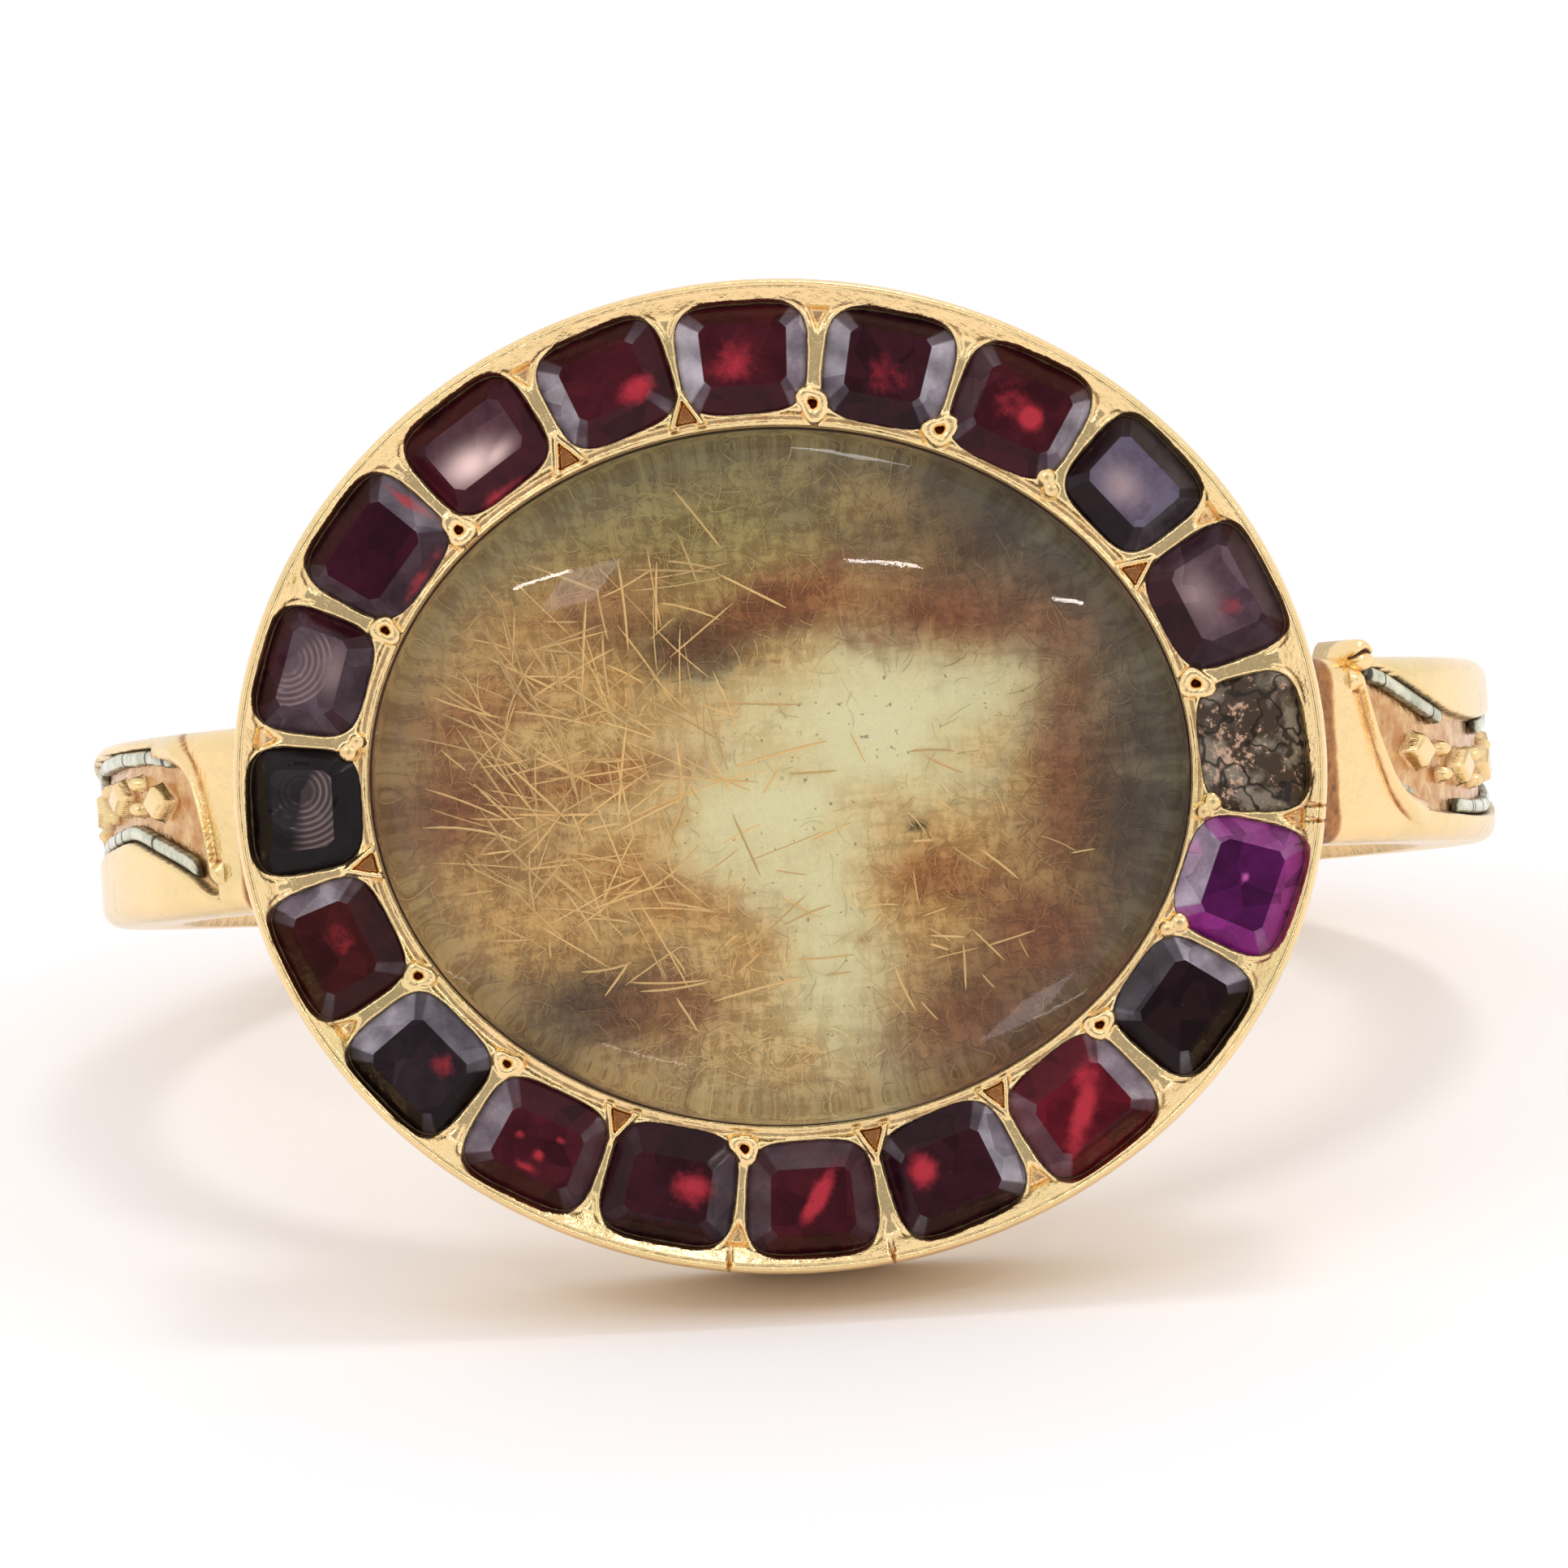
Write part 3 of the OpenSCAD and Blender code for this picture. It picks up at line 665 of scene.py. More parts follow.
STONES = (
    StoneSpec(1.00, 0.98, -0.02, -0.03, 0, WINE, bevel_reflections=(0.75, 0, 0.85, 0),
              glows=(Glow(-0.15, 0, 0.36, 0.4, 0.55),)),
    StoneSpec(0.99, 1.00, 0.02, -0.04, 1, PLUM, bevel_reflections=(0.8, 0, 0.55, 0),
              glows=(Glow(0.1, -0.1, 0.35, 0.35, 0.4),)),
    StoneSpec(0.99, 1.02, 0.00, -0.02, 2, WINE, bevel_reflections=(0.7, 0, 0.05, 0),
              glows=(Glow(0.22, 0.02, 0.2, 0.22, 1.15), Glow(0.0, 0.1, 0.4, 0.4, 0.45))),
    StoneSpec(0.92, 0.97, -0.04, 0.02, -3, (0.075, 0.045, 0.110), BLACK_RED, (0.08, 0.1, 0, 0), 0.3,
              tilt=(2, 3), reflection_veils=(Glow(-0.1, -0.1, 0.35, 0.3, 0.3),)),
    StoneSpec(1.01, 1.03, -0.05, 0.00, 0, MAUVE, PLUM, (0.05, 0.1, 0.05, 0), 0.2,
              glows=(Glow(0.2, 0.2, 0.25, 0.25, 0.4),), reflection_veils=(Glow(-0.15, -0.2, 0.4, 0.3, 0.22),)),
    StoneSpec(1.05, 0.93, 0.02, -0.04, 2, (0.15, 0.12, 0.085), (0.11, 0.09, 0.065), (0.1, 0.1, 0.35, 0.2),
              glows=(Glow(0.1, -0.45, 0.6, 0.4, 0.3),), cut=Cut.PASTE),
    StoneSpec(0.99, 1.03, 0.02, -0.03, -2, (0.085, 0.006, 0.075), (0.30, 0.02, 0.24), (0, 0.05, 0.1, 0.8),
              glows=(Glow(-0.2, -0.9, 0.5, 0.22, 0.35), Glow(-0.1, 0.1, 0.08, 0.08, 0.7)), cut=Cut.PURPLE),
    StoneSpec(0.94, 1.00, -0.02, -0.02, 1, BLACK_RED, bevel_reflections=(0, 0, 0.8, 0.1)),
    StoneSpec(1.01, 1.04, -0.01, 0.00, 3, CRIMSON, bevel_reflections=(0.1, 0, 0.6, 0),
              glows=(Glow(0.0, 0.1, 0.75, 0.2, 0.85, 40), Glow(-0.3, -0.3, 0.25, 0.25, 0.55))),
    StoneSpec(1.01, 1.04, 0.01, -0.02, 4, PLUM, bevel_reflections=(0, 0, 0.65, 0),
              glows=(Glow(0.42, -0.15, 0.26, 0.3, 0.95),)),
    StoneSpec(1.00, 1.01, 0.03, 0.00, 0, WINE, bevel_reflections=(0.1, 0, 0.05, 0.1),
              glows=(Glow(-0.12, 0, 0.14, 0.5, 1.1, -30),)),
    StoneSpec(1.01, 1.03, 0.03, -0.03, 1, PLUM, bevel_reflections=(0, 0, 0.1, 0),
              glows=(Glow(-0.35, 0, 0.34, 0.3, 0.75),)),
    StoneSpec(1.01, 0.99, 0.02, 0.02, 2, WINE, bevel_reflections=(0.45, 0, 0.05, 0),
              glows=(Glow(-0.1, 0.2, 0.1, 0.1, 0.8), Glow(0.3, 0, 0.09, 0.09, 0.7),
                     Glow(-0.3, -0.2, 0.12, 0.08, 0.7), Glow(0.0, 0.5, 0.2, 0.08, 0.6))),
    StoneSpec(0.98, 1.00, 0.02, 0.03, -1, BLACK_RED, bevel_reflections=(0.7, 0, 0, 0.35), sheen=0.05,
              glows=(Glow(-0.3, -0.2, 0.25, 0.25, 0.5),)),
    StoneSpec(1.00, 0.98, 0.02, 0.02, 1, (0.060, 0.008, 0.008), bevel_reflections=(0.55, 0, 0, 0),
              glows=(Glow(0, 0, 0.4, 0.4, 0.3),)),
    StoneSpec(0.96, 0.98, 0.01, -0.02, -2, (0.016, 0.011, 0.012), sheen=0.03,
              chips=((0.30, 0.10, 2.5, 0.5),)),
    StoneSpec(0.94, 0.94, -0.02, 0.01, 1, (0.060, 0.022, 0.036), PLUM, (0, 0, 0.1, 0.1), 0.15, tilt=(1, 1),
              chips=((0.10, 0.62, 1.5, 0.6),), reflection_veils=(Glow(0.1, -0.3, 0.4, 0.3, 0.2),)),
    StoneSpec(1.00, 1.01, -0.02, -0.02, 1, (0.040, 0.004, 0.014), (0.04, 0.006, 0.014), (0.35, 0, 0.1, 0.05),
              glows=(Glow(0.0, -0.85, 0.5, 0.1, 0.7), Glow(0.85, 0.1, 0.08, 0.6, 0.7))),
    StoneSpec(1.00, 0.97, -0.01, 0.01, 2, (0.085, 0.018, 0.030), (0.060, 0.005, 0.012), sheen=0.1,
              glows=(Glow(-0.2, -0.9, 0.7, 0.14, 0.5),), tilt=(-2, 2),
              reflection_veils=(Glow(-0.28, -0.16, 0.42, 0.30, 1.0, -8), Glow(0.1, -0.3, 0.3, 0.16, 0.8, 10))),
    StoneSpec(0.98, 0.98, 0.01, -0.02, 4, WINE, bevel_reflections=(0, 0, 0.7, 0),
              glows=(Glow(0.4, -0.3, 0.3, 0.26, 0.9),)),
)


@dataclass(frozen=True)
class HeadPlan:
    """Sizes of the head and of the row of stones round it."""

    length: float = 15.0
    width: float = 13.65
    back_z: float = 9.2
    rim_z: float = 12.2
    plate_t: float = 0.5
    foot: float = 0.25
    rim_w: float = 0.2
    collar_w: float = 0.15
    rib_w: float = 0.165
    crystal_len: float = 11.24
    crystal_w: float = 9.56
    crystal_edge: float = 0.9
    dome_h: float = 1.5
    ledge_w: float = 0.25
    ground_t: float = 0.3
    hair_room: float = 0.4
    crown_h: float = 0.42
    bevel_drop: float = 0.24
    girdle_t: float = 0.1
    pavilion_h: float = 0.95
    table_drop: float = 0.08
    fit: float = 0.02
    first_stone: float = -0.243
    cushion_power: float = 3.8
    keystone: float = 0.62
    table_along: float = 0.64
    table_across: float = 0.56
    table_out: float = 0.04
    narrowest: float = 0.3

    @property
    def outer(self) -> Array:
        """Half sides of the head's outline."""
        return np.array([self.length, self.width]) / 2

    @property
    def crystal(self) -> Array:
        """Half sides of the crystal's outline."""
        return np.array([self.crystal_len, self.crystal_w]) / 2

    @property
    def well(self) -> Array:
        """Half sides of the hole that the crystal lies in."""
        return self.crystal + self.fit

    @property
    def chamber(self) -> Array:
        """Half sides of the hair's chamber."""
        return self.crystal - self.ledge_w

    @property
    def row(self) -> Array:
        """Half sides of the oval through the middles of the stones."""
        return (self.outer - self.rim_w + self.crystal + self.collar_w) / 2

    @property
    def stone_w(self) -> float:
        """Width of the even stone, across the row."""
        return float(min(self.outer - self.rim_w - self.crystal - self.collar_w))

    @property
    def table_z(self) -> float:
        """Height of the stones' tables."""
        return self.rim_z - self.table_drop

    @property
    def girdle_z(self) -> float:
        """Height of the stones' girdles."""
        return self.table_z - self.crown_h

    @property
    def edge_z(self) -> float:
        """Height at which the gold meets the stones."""
        return self.table_z - self.bevel_drop

    @property
    def chamber_z(self) -> float:
        """Height of the chamber's floor."""
        return self.back_z + self.plate_t

    @property
    def ground_z(self) -> float:
        """Height of the top of the pale ground."""
        return self.chamber_z + self.fit + self.ground_t

    @property
    def ledge_z(self) -> float:
        """Height of the ledge under the crystal."""
        return self.ground_z + self.hair_room

    def run_table(self) -> tuple[Array, Array]:
        """Measures the row's oval, degree by degree.

        Returns:
            The distance run at each angle, and the angles.
        """
        angles = np.linspace(0, 360, 361)
        ring = oval(self.row, angles)
        return np.concatenate([[0], np.cumsum(np.linalg.norm(np.diff(ring, axis=0), axis=1))]), angles

    def pitch(self) -> float:
        """Returns the distance from stone to stone."""
        return float(self.run_table()[0][-1]) / len(STONES)

    def at_run(self, run: Array) -> Array:
        """Finds the angle round the row at a distance run, which may be more than one round.

        Args:
            run: distance from the top, in millimetres.

        Returns:
            The angle in degrees.
        """
        runs, angles = self.run_table()
        turns = np.floor(run / runs[-1])
        return np.interp(run - turns * runs[-1], runs, angles) + 360 * turns


PLAN = HeadPlan()


def oval(half: Array, angle: Array) -> Array:
    """Returns points on an oval, at angles in degrees clockwise from its top."""
    a = np.radians(angle)
    return np.stack([half[..., 0] * np.sin(a), half[..., 1] * np.cos(a)], -1)


def oval_out(half: Array, angle: Array) -> Array:
    """Returns the direction outwards on an oval, in degrees from +X."""
    a = np.radians(angle)
    return np.degrees(np.arctan2(half[0] * np.cos(a), half[1] * np.sin(a)))


@dataclass(frozen=True)
class Seat:
    """Where one stone lies: its place, its direction and its half sides."""

    place: Array
    out: float
    half: Array
    taper: float

    @classmethod
    def of(cls, index: int) -> "Seat":
        """Works out the seat of a stone.

        Args:
            index: the stone, from 0.

        Returns:
            Its seat.
        """
        spec, pitch = STONES[index], PLAN.pitch()
        run = (PLAN.first_stone + index + spec.shift) * pitch
        angle = PLAN.at_run(np.array(run))
        out = float(oval_out(PLAN.row, angle))
        before, after = (oval_out(PLAN.row, PLAN.at_run(run + side * pitch / 2)) for side in (-1, 1))
        lean = abs(float((before - after + 180) % 360 - 180)) / 2
        away = np.array([math.cos(math.radians(out)), math.sin(math.radians(out))])
        half = np.array([(pitch - PLAN.rib_w) * spec.along, PLAN.stone_w * spec.across]) / 2
        return cls(oval(PLAN.row, angle) + spec.out * PLAN.stone_w * away, out + spec.turn, half,
                   math.tan(math.radians(PLAN.keystone * lean)))

    def local(self, points: Array) -> Array:
        """Carries points of the head's face into the stone's own frame.

        Args:
            points: places on the face.

        Returns:
            The places, with Y outwards.
        """
        a = math.radians(self.out - 90)
        p = points - self.place
        return np.stack([p[..., 0] * math.cos(a) + p[..., 1] * math.sin(a),
                         -p[..., 0] * math.sin(a) + p[..., 1] * math.cos(a)], -1)

    def world(self, points: Array) -> Array:
        """Carries points of the stone's own frame, with their heights, to the head's frame."""
        a = math.radians(self.out - 90)
        return np.stack([self.place[0] + points[..., 0] * math.cos(a) - points[..., 1] * math.sin(a),
                         self.place[1] + points[..., 0] * math.sin(a) + points[..., 1] * math.cos(a),
                         points[..., 2]], -1)

    def distance(self, points: Array) -> Array:
        """Works out about how far points of the face lie outside the stone's outline.

        The outline is a squared oval: (|x| / a) ^ p + (|y| / b) ^ p = 1, where a grows outwards with the
        taper. The distance is that form's excess over 1, divided by its slope.

        Args:
            points: places on the face.

        Returns:
            The distances, less than 0 inside.
        """
        p = self.local(points)
        power = PLAN.cushion_power
        a = np.maximum(self.half[0] + self.taper * p[..., 1], PLAN.narrowest)
        u, v = np.abs(p[..., 0]) / a + TINY, np.abs(p[..., 1]) / self.half[1] + TINY
        form = (u ** power + v ** power) ** (1 / power)
        slope = form ** (1 - power) * np.hypot(u ** (power - 1) / a, v ** (power - 1) / self.half[1])
        return (form - 1) / slope


class Claw(Enum):
    """How a rib ends at the crystal."""

    RING = "a raised ring round a drilled eye"
    PRONGS = "two prongs with a hollow between them"
    BLOB = "a worn double blob"


CLAWS = tuple({"r": Claw.RING, "p": Claw.PRONGS, "b": Claw.BLOB}[letter] for letter in "rrbprbbrpprprrpbrrpp")


@dataclass(frozen=True)
class ClawPlan:
    """Sizes of the ribs' ends at the crystal, measured from the row's middle with Y outwards.

    Each form has a foot (low), rises above it, and may be painted dark (dark) to look hollow, as painted
    shade.
    Prongs spread from a fork.
    """

    middle: float = -0.645
    wander: float = 0.02
    least: float = 0.92
    growth: float = 0.18
    any_turn: float = 6.3
    worn: tuple[float, float] = (0.14, 0.12)
    uneven: float = 0.2
    ring_low: float = 0.055
    ring_rise: float = 0.11
    ring_r: float = 0.135
    ring_half: float = 0.09
    ring_end: float = 0.225
    eye_r: float = 0.06
    eye_depth: float = 0.35
    blobs: tuple[tuple[float, float, float], ...] = ((-0.07, 0.06, 0.15), (0.08, -0.05, 0.13))
    blob_low: float = 0.04
    blob_rise: float = 0.12
    blob_dark: float = 0.35
    fork: float = -0.42
    prong_long: float = 0.42
    splay: float = 0.46
    prong_start: float = -0.38
    prong_end: float = -0.86
    prong_half: float = 0.065
    prong_low: float = 0.05
    prong_rise: float = 0.10
    notch_off: float = 0.03
    notch_long: float = 0.40
    notch_depth: float = 0.16
    notch_dark: float = 0.9


@dataclass(frozen=True)
class FrontPlan:
    """Sizes of the gold front, measured from its inner border, its outer border or the nearest stone.

    From inside to outside it has a broken edge, a step, a groove, the ribs' level, a fine line and the rim.
    Round each stone run a graver's line and a wall. A pair that darkens is a width and a strength.
    The groove, the graver's lines and the pits are painted coppery by their dark shares,
    as patina and painted shade. A thin dark line along each stone is soiling and painted shade.
    """

    far: float = 9.0
    seat_reach: float = 1.75
    claw_reach: tuple[float, float] = (0.62, 1.3)
    collar_rise: float = 0.05
    break_w: float = 0.02
    break_drop: float = 0.06
    step_at: float = 0.06
    step_drop: float = 0.03
    rib_at: float = 0.19
    rib_soft: float = 0.05
    groove: tuple[float, float] = (0.07, 0.16)
    groove_dark: float = 0.45
    soft: float = 0.02
    rim_drop: float = 0.2
    line_off: float = 0.02
    line_w: float = 0.014
    line_depth: float = 0.045
    rim_fillet: float = 0.03
    wall_fillet: float = 0.012
    claw_fillet: float = 0.01
    graver_off: float = 0.075
    graver_w: float = 0.016
    graver_depth: float = 0.035
    graver_dark: float = 0.5
    graver_run: tuple[float, float] = (0.42, 0.72)
    graver_soft: tuple[float, float] = (0.08, 0.04)
    pit_run: tuple[float, float] = (0.36, 0.66)
    pit_slope: float = 0.5
    pit_soft: float = 0.03
    pit_depth: float = 0.07
    pit_dark: float = 0.55
    wall_lip: float = 0.03
    wall_deep: float = -0.03
    wall_steep: float = 6.0
    stone_dirt_and_shade: tuple[float, float] = (0.022, 0.8)
    rim_line_dark: tuple[float, float] = (0.012, 0.6)


@dataclass
class Head:
    """The gold head: a box whose front is the rim, the ribs between the stones, and the crystal's collar."""

    seats: tuple[Seat, ...]
    claw: ClawPlan = ClawPlan()
    front: FrontPlan = FrontPlan()
    fine: float = 0.0225
    coarse: float = 0.074
    rib_reach: float = 0.48
    rib_rise: float = 0.09
    wall_slope: float = 3.6
    rim_edge: float = 0.08
    rim_line: float = 0.098
    rim_slope: float = 0.8
    pocket: float = 1.25
    rim_cuts: tuple[float, ...] = (93.6, 95.4, 168.0, 185.5)
    cut_r: float = 7.1
    cut_w: float = 0.022
    cut_depth: float = 0.14
    cut_from: tuple[float, float] = (0.1, 0.87)
    busy: tuple[float, float] = (0.27, 0.70)
    row_step: tuple[float, float] = (0.020, 0.045)
    waves: tuple[tuple[float, float, float], ...] = ((0.006, 7, 0), (0.004, 23, 40))
    worn_off: float = 0.008
    round_edge: float = 0.02

    def _columns(self) -> tuple[Array, Array]:
        """Places the columns of the grid, close together at each rib.

        Returns:
            The angles of the columns, and those of the ribs.
        """
        pitch = PLAN.pitch()
        shifts = [stone.shift for stone in STONES]
        places = [(PLAN.first_stone + k + (shift + shifts[(k + 1) % len(shifts)]) / 2 + 0.5) * pitch
                  for k, shift in enumerate(shifts)]
        angles: list[Array] = []
        for k, here in enumerate(places):
            after = places[(k + 1) % len(places)] + (pitch * len(STONES) if k == len(places) - 1 else 0)
            runs = graded(here, after, lambda s: np.where(
                np.minimum(s - here, after - s) < self.rib_reach, self.fine, self.coarse))
            angles.append(PLAN.at_run(runs[:-1]))
        return np.concatenate(angles), PLAN.at_run(np.array(places))

    @staticmethod
    def _dome(distance: Array, radius: float) -> Array:
        """Returns a round swelling from 0 at its radius to 1 in the middle."""
        return np.sqrt(np.clip(1 - (distance / radius) ** 2, 0, 1))

    def _claw(self, kind: Claw, x: Array, y: Array, rng: np.random.Generator) -> tuple[Array, Array]:
        """Works out one rib's end, where y is outwards from the row's middle and x is across the rib.

        Args:
            kind: its form.
            x: places across.
            y: places outwards.
            rng: the source of its small differences.

        Returns:
            Its height above the edge level, or 0 outside it, and how dark it is painted to look
            hollow, as painted shade.
        """
        c = self.claw
        low = c.middle - c.wander * rng.random()
        x = x - c.wander * rng.standard_normal()
        size = c.least + c.growth * rng.random()
        if kind is Claw.RING:
            way, turns = np.arctan2(y - low, x), rng.uniform(0, c.any_turn, 2)
            worn = 1 + c.worn[0] * np.cos(2 * way + turns[0]) + c.worn[1] * np.cos(3 * way + turns[1])
            ball = np.hypot(x, y - low) / size / worn
            crest = self._dome(ball - c.ring_r, c.ring_half)
            rise = c.ring_low + c.ring_rise * crest * (1 - c.uneven + c.uneven * np.cos(way + turns[1]))
            eye = np.clip(1 - ball / c.eye_r, 0, 1)
            return np.where(ball < c.ring_end, rise - c.eye_depth * eye, 0), np.clip(eye * 3, 0, 1)
        if kind is Claw.BLOB:
            both = np.maximum(*(self._dome(np.hypot(x - across, y - low - outwards), radius * size)
                                for across, outwards, radius in c.blobs))
            return np.where(both > 0, c.blob_low + c.blob_rise * both, 0), c.blob_dark * both
        along = np.clip(c.fork - y, 0, c.prong_long)
        ridge = self._dome(np.abs(np.abs(x) - c.splay * along), c.prong_half)
        notch = (np.abs(x) < c.splay * along - c.notch_off) & (along < c.notch_long)
        prongs = (y < c.prong_start) & (y > c.prong_end) & (ridge > 0)
        rise = np.where(prongs, c.prong_low + c.prong_rise * ridge, 0)
        return np.where(notch, -c.notch_depth, rise), notch * c.notch_dark

    def _level(self, inwards: Array, outwards: Array) -> tuple[Array, Array]:
        """Works out the front without its stones: the ribs' level, the collar inside it and the rim outside.

        Args:
            inwards: distance from the outer border.
            outwards: distance from the inner border.

        Returns:
            Height, and how coppery the groove is painted as patina and painted shade, at each place.
        """
        f, edge = self.front, PLAN.edge_z
        collar = edge + f.collar_rise - f.break_drop * np.clip((f.break_w - outwards) / f.break_w, 0, 1)
        collar = collar - f.step_drop * smoothstep(f.soft, outwards - f.step_at)
        level = collar + (edge + self.rib_rise - collar) * smoothstep(f.rib_soft, outwards - f.rib_at)
        fall = self._dome(np.maximum(self.rim_edge - inwards, 0), self.rim_edge * 1.001)
        rim = PLAN.rim_z - f.rim_drop * (1 - fall)
        rim = rim - self.rim_slope * np.maximum(inwards - self.rim_line - f.line_off, 0)
        rim = rim - f.line_depth * np.exp(-((inwards - self.rim_line) / f.line_w) ** 2)
        start, end = f.groove
        groove = smoothstep(f.soft, outwards - start) * smoothstep(f.soft, end - outwards)
        return soft_max(level, rim, f.rim_fillet), f.groove_dark * groove

    def _front(self, points: Array, inwards: Array, outwards: Array,
               ribs: Array) -> tuple[Array, Array, Array]:
        """Works out the height of the gold front, and where it is painted coppery and dark
        as patina, soiling and painted shade.

        A steep wall round each stone cuts the level front, so the gold hugs the stones. The graver's lines,
        the corners' hollows and the ribs' ends are added.

        Args:
            points: places on the face.
            inwards: distance from the outer border.
            outwards: distance from the inner border.
            ribs: angles of the ribs.

        Returns:
            Height, and the painted coppery and dark shares, at each place.
        """
        f, edge = self.front, PLAN.edge_z
        gap = np.full(points.shape[:2], f.far)
        for seat in self.seats:
            near = np.linalg.norm(points - seat.place, axis=-1) < f.seat_reach
            gap[near] = np.minimum(gap[near], seat.distance(points[near]))
        height, hollow = self._level(inwards, outwards)
        rng = np.random.default_rng(SEED)
        extra = np.zeros_like(height)
        groove = np.exp(-((gap - f.graver_off) / f.graver_w) ** 2)
        for k, angle in enumerate(ribs):
            out = math.radians(float(oval_out(PLAN.row, angle)))
            away = np.array([math.cos(out), math.sin(out)])
            p = points - oval(PLAN.row, angle)
            y = p @ away
            x = p @ np.array([away[1], -away[0]])
            near = (np.abs(x) < f.claw_reach[0]) & (np.abs(y) < f.claw_reach[1])
            (start, end), (begin, fade) = f.graver_run, f.graver_soft
            line = groove * smoothstep(begin, y - start) * smoothstep(fade, end - y)
            height = height - np.where(near, f.graver_depth * line, 0)
            hollow = np.maximum(hollow, np.where(near, f.graver_dark * line, 0))
            if (k * 7) % 5 < 2:
                start, end = f.pit_run
                pit = smoothstep(f.pit_soft, (y - start) * f.pit_slope - np.abs(x))
                pit = pit * smoothstep(f.pit_soft, end - y) * near
                height = height - f.pit_depth * pit
                hollow = np.maximum(hollow, f.pit_dark * pit)
            rise, dent = self._claw(CLAWS[k], x, y, rng)
            extra = np.where(near & (rise != 0), rise, extra)
            hollow = np.where(near & (rise != 0), dent, hollow)
        wall = edge + f.wall_lip + self.wall_slope * gap - f.wall_steep * np.maximum(f.wall_deep - gap, 0)
        height = soft_min(height, np.maximum(wall, PLAN.girdle_z - self.pocket), f.wall_fillet)
        height = np.where(extra > 0, soft_max(height, edge + extra, f.claw_fillet), height)
        height = np.where(extra < 0, edge + extra, height)
        # A thin dark line where the gold meets each stone: soiling and painted shade. The rim's fine line is
        # darker too.
        dirt = np.exp(-(gap / f.stone_dirt_and_shade[0]) ** 2) * f.stone_dirt_and_shade[1] * (extra <= 0)
        dirt = dirt + np.exp(-((inwards - self.rim_line) / f.rim_line_dark[0]) ** 2) * f.rim_line_dark[1]
        return height, np.clip(hollow, 0, 1), np.clip(dirt, 0, 1)

    def _sides(self) -> tuple[list[tuple[Array, float]], list[tuple[Array, float]]]:
        """Lists the profile's lines before and after the front, each as half sides and a height.

        Returns:
            The chamber and the crystal's ledge, and the outer wall and the back.
        """
        p, foot, edge = PLAN, PLAN.foot, self.round_edge
        before = [(p.chamber, p.chamber_z), (p.chamber, p.ledge_z - edge), (p.chamber, p.ledge_z),
                  (p.well, p.ledge_z), (p.well, p.ledge_z + edge), (p.well, p.girdle_z - 0.1)]
        after = [(p.outer, p.rim_z - 0.26), (p.outer - edge / 2, p.rim_z - 0.5),
                 (p.outer - edge, p.rim_z - 1.5), (p.outer - foot / 5, p.back_z + 1.6 * foot),
                 (p.outer - foot / 5, p.back_z + foot), (p.outer - foot / 2.4, p.back_z + 0.35 * foot),
                 (p.outer - foot, p.back_z), (p.outer - 1.5 * foot, p.back_z)]
        return before, after

    def build(self, ring: RingFrame) -> Piece:
        """Makes the head as one closed grid, whose column is an angle and whose row is a line of the profile.

        The profile runs from the chamber's floor up its walls, over the front, down the outer wall and over
        the back plate.

        Args:
            ring: the ring's frame.

        Returns:
            The head.
        """
        angles, ribs = self._columns()
        width = float(np.mean(PLAN.outer - PLAN.well))
        (low, high), (fine, coarse) = self.busy, self.row_step
        share = graded(0, 1, lambda w: np.where((w < low) | (w > high), fine, coarse) / width)
        half = PLAN.well + (PLAN.outer - PLAN.well) * share[:, None]
        points = oval(half[:, None, :], angles[None, :])
        wide = np.linalg.norm(oval(PLAN.outer, angles) - oval(PLAN.well, angles), axis=-1)[None, :]
        z, hollow, dirt = self._front(points, (1 - share[:, None]) * wide, share[:, None] * wide, ribs)
        soft, start = self.cut_from
        for cut in self.rim_cuts:
            across = np.radians((angles[None, :] - cut + 180) % 360 - 180) * self.cut_r
            notch = np.exp(-(across / self.cut_w) ** 2) * smoothstep(soft, share[:, None] - start)
            z, hollow = z - self.cut_depth * notch, np.maximum(hollow, notch)
        waves = sum(rise * np.sin(np.radians(angles * count + turn)) for rise, count, turn in self.waves)
        z = z + (waves - self.worn_off)[None, :] * share[:, None]
        before, after = self._sides()
        level = np.ones((len(angles), 1))
        rows, tail = ([np.concatenate([oval(half, angles), height * level], 1) for half, height in lines]
                      for lines in (before, after))
        grid = np.concatenate([np.stack(rows), np.concatenate([points, z[..., None]], -1), np.stack(tail)])
        piece = grid_piece("gold_head", ring.head(grid), Form.CAPPED)
        inside, outside = (np.zeros((len(lines), len(angles))) for lines in (before, after))
        # The chamber's walls and ledge under the crystal are painted coppery and dark: painted shade. The
        # outer wall and the back are a little coppery.
        paint(piece, "recess", np.concatenate([inside + 0.6, hollow, outside + 0.1]))
        paint(piece, "dirt", np.concatenate([inside + 0.75, dirt, outside]))
        return piece


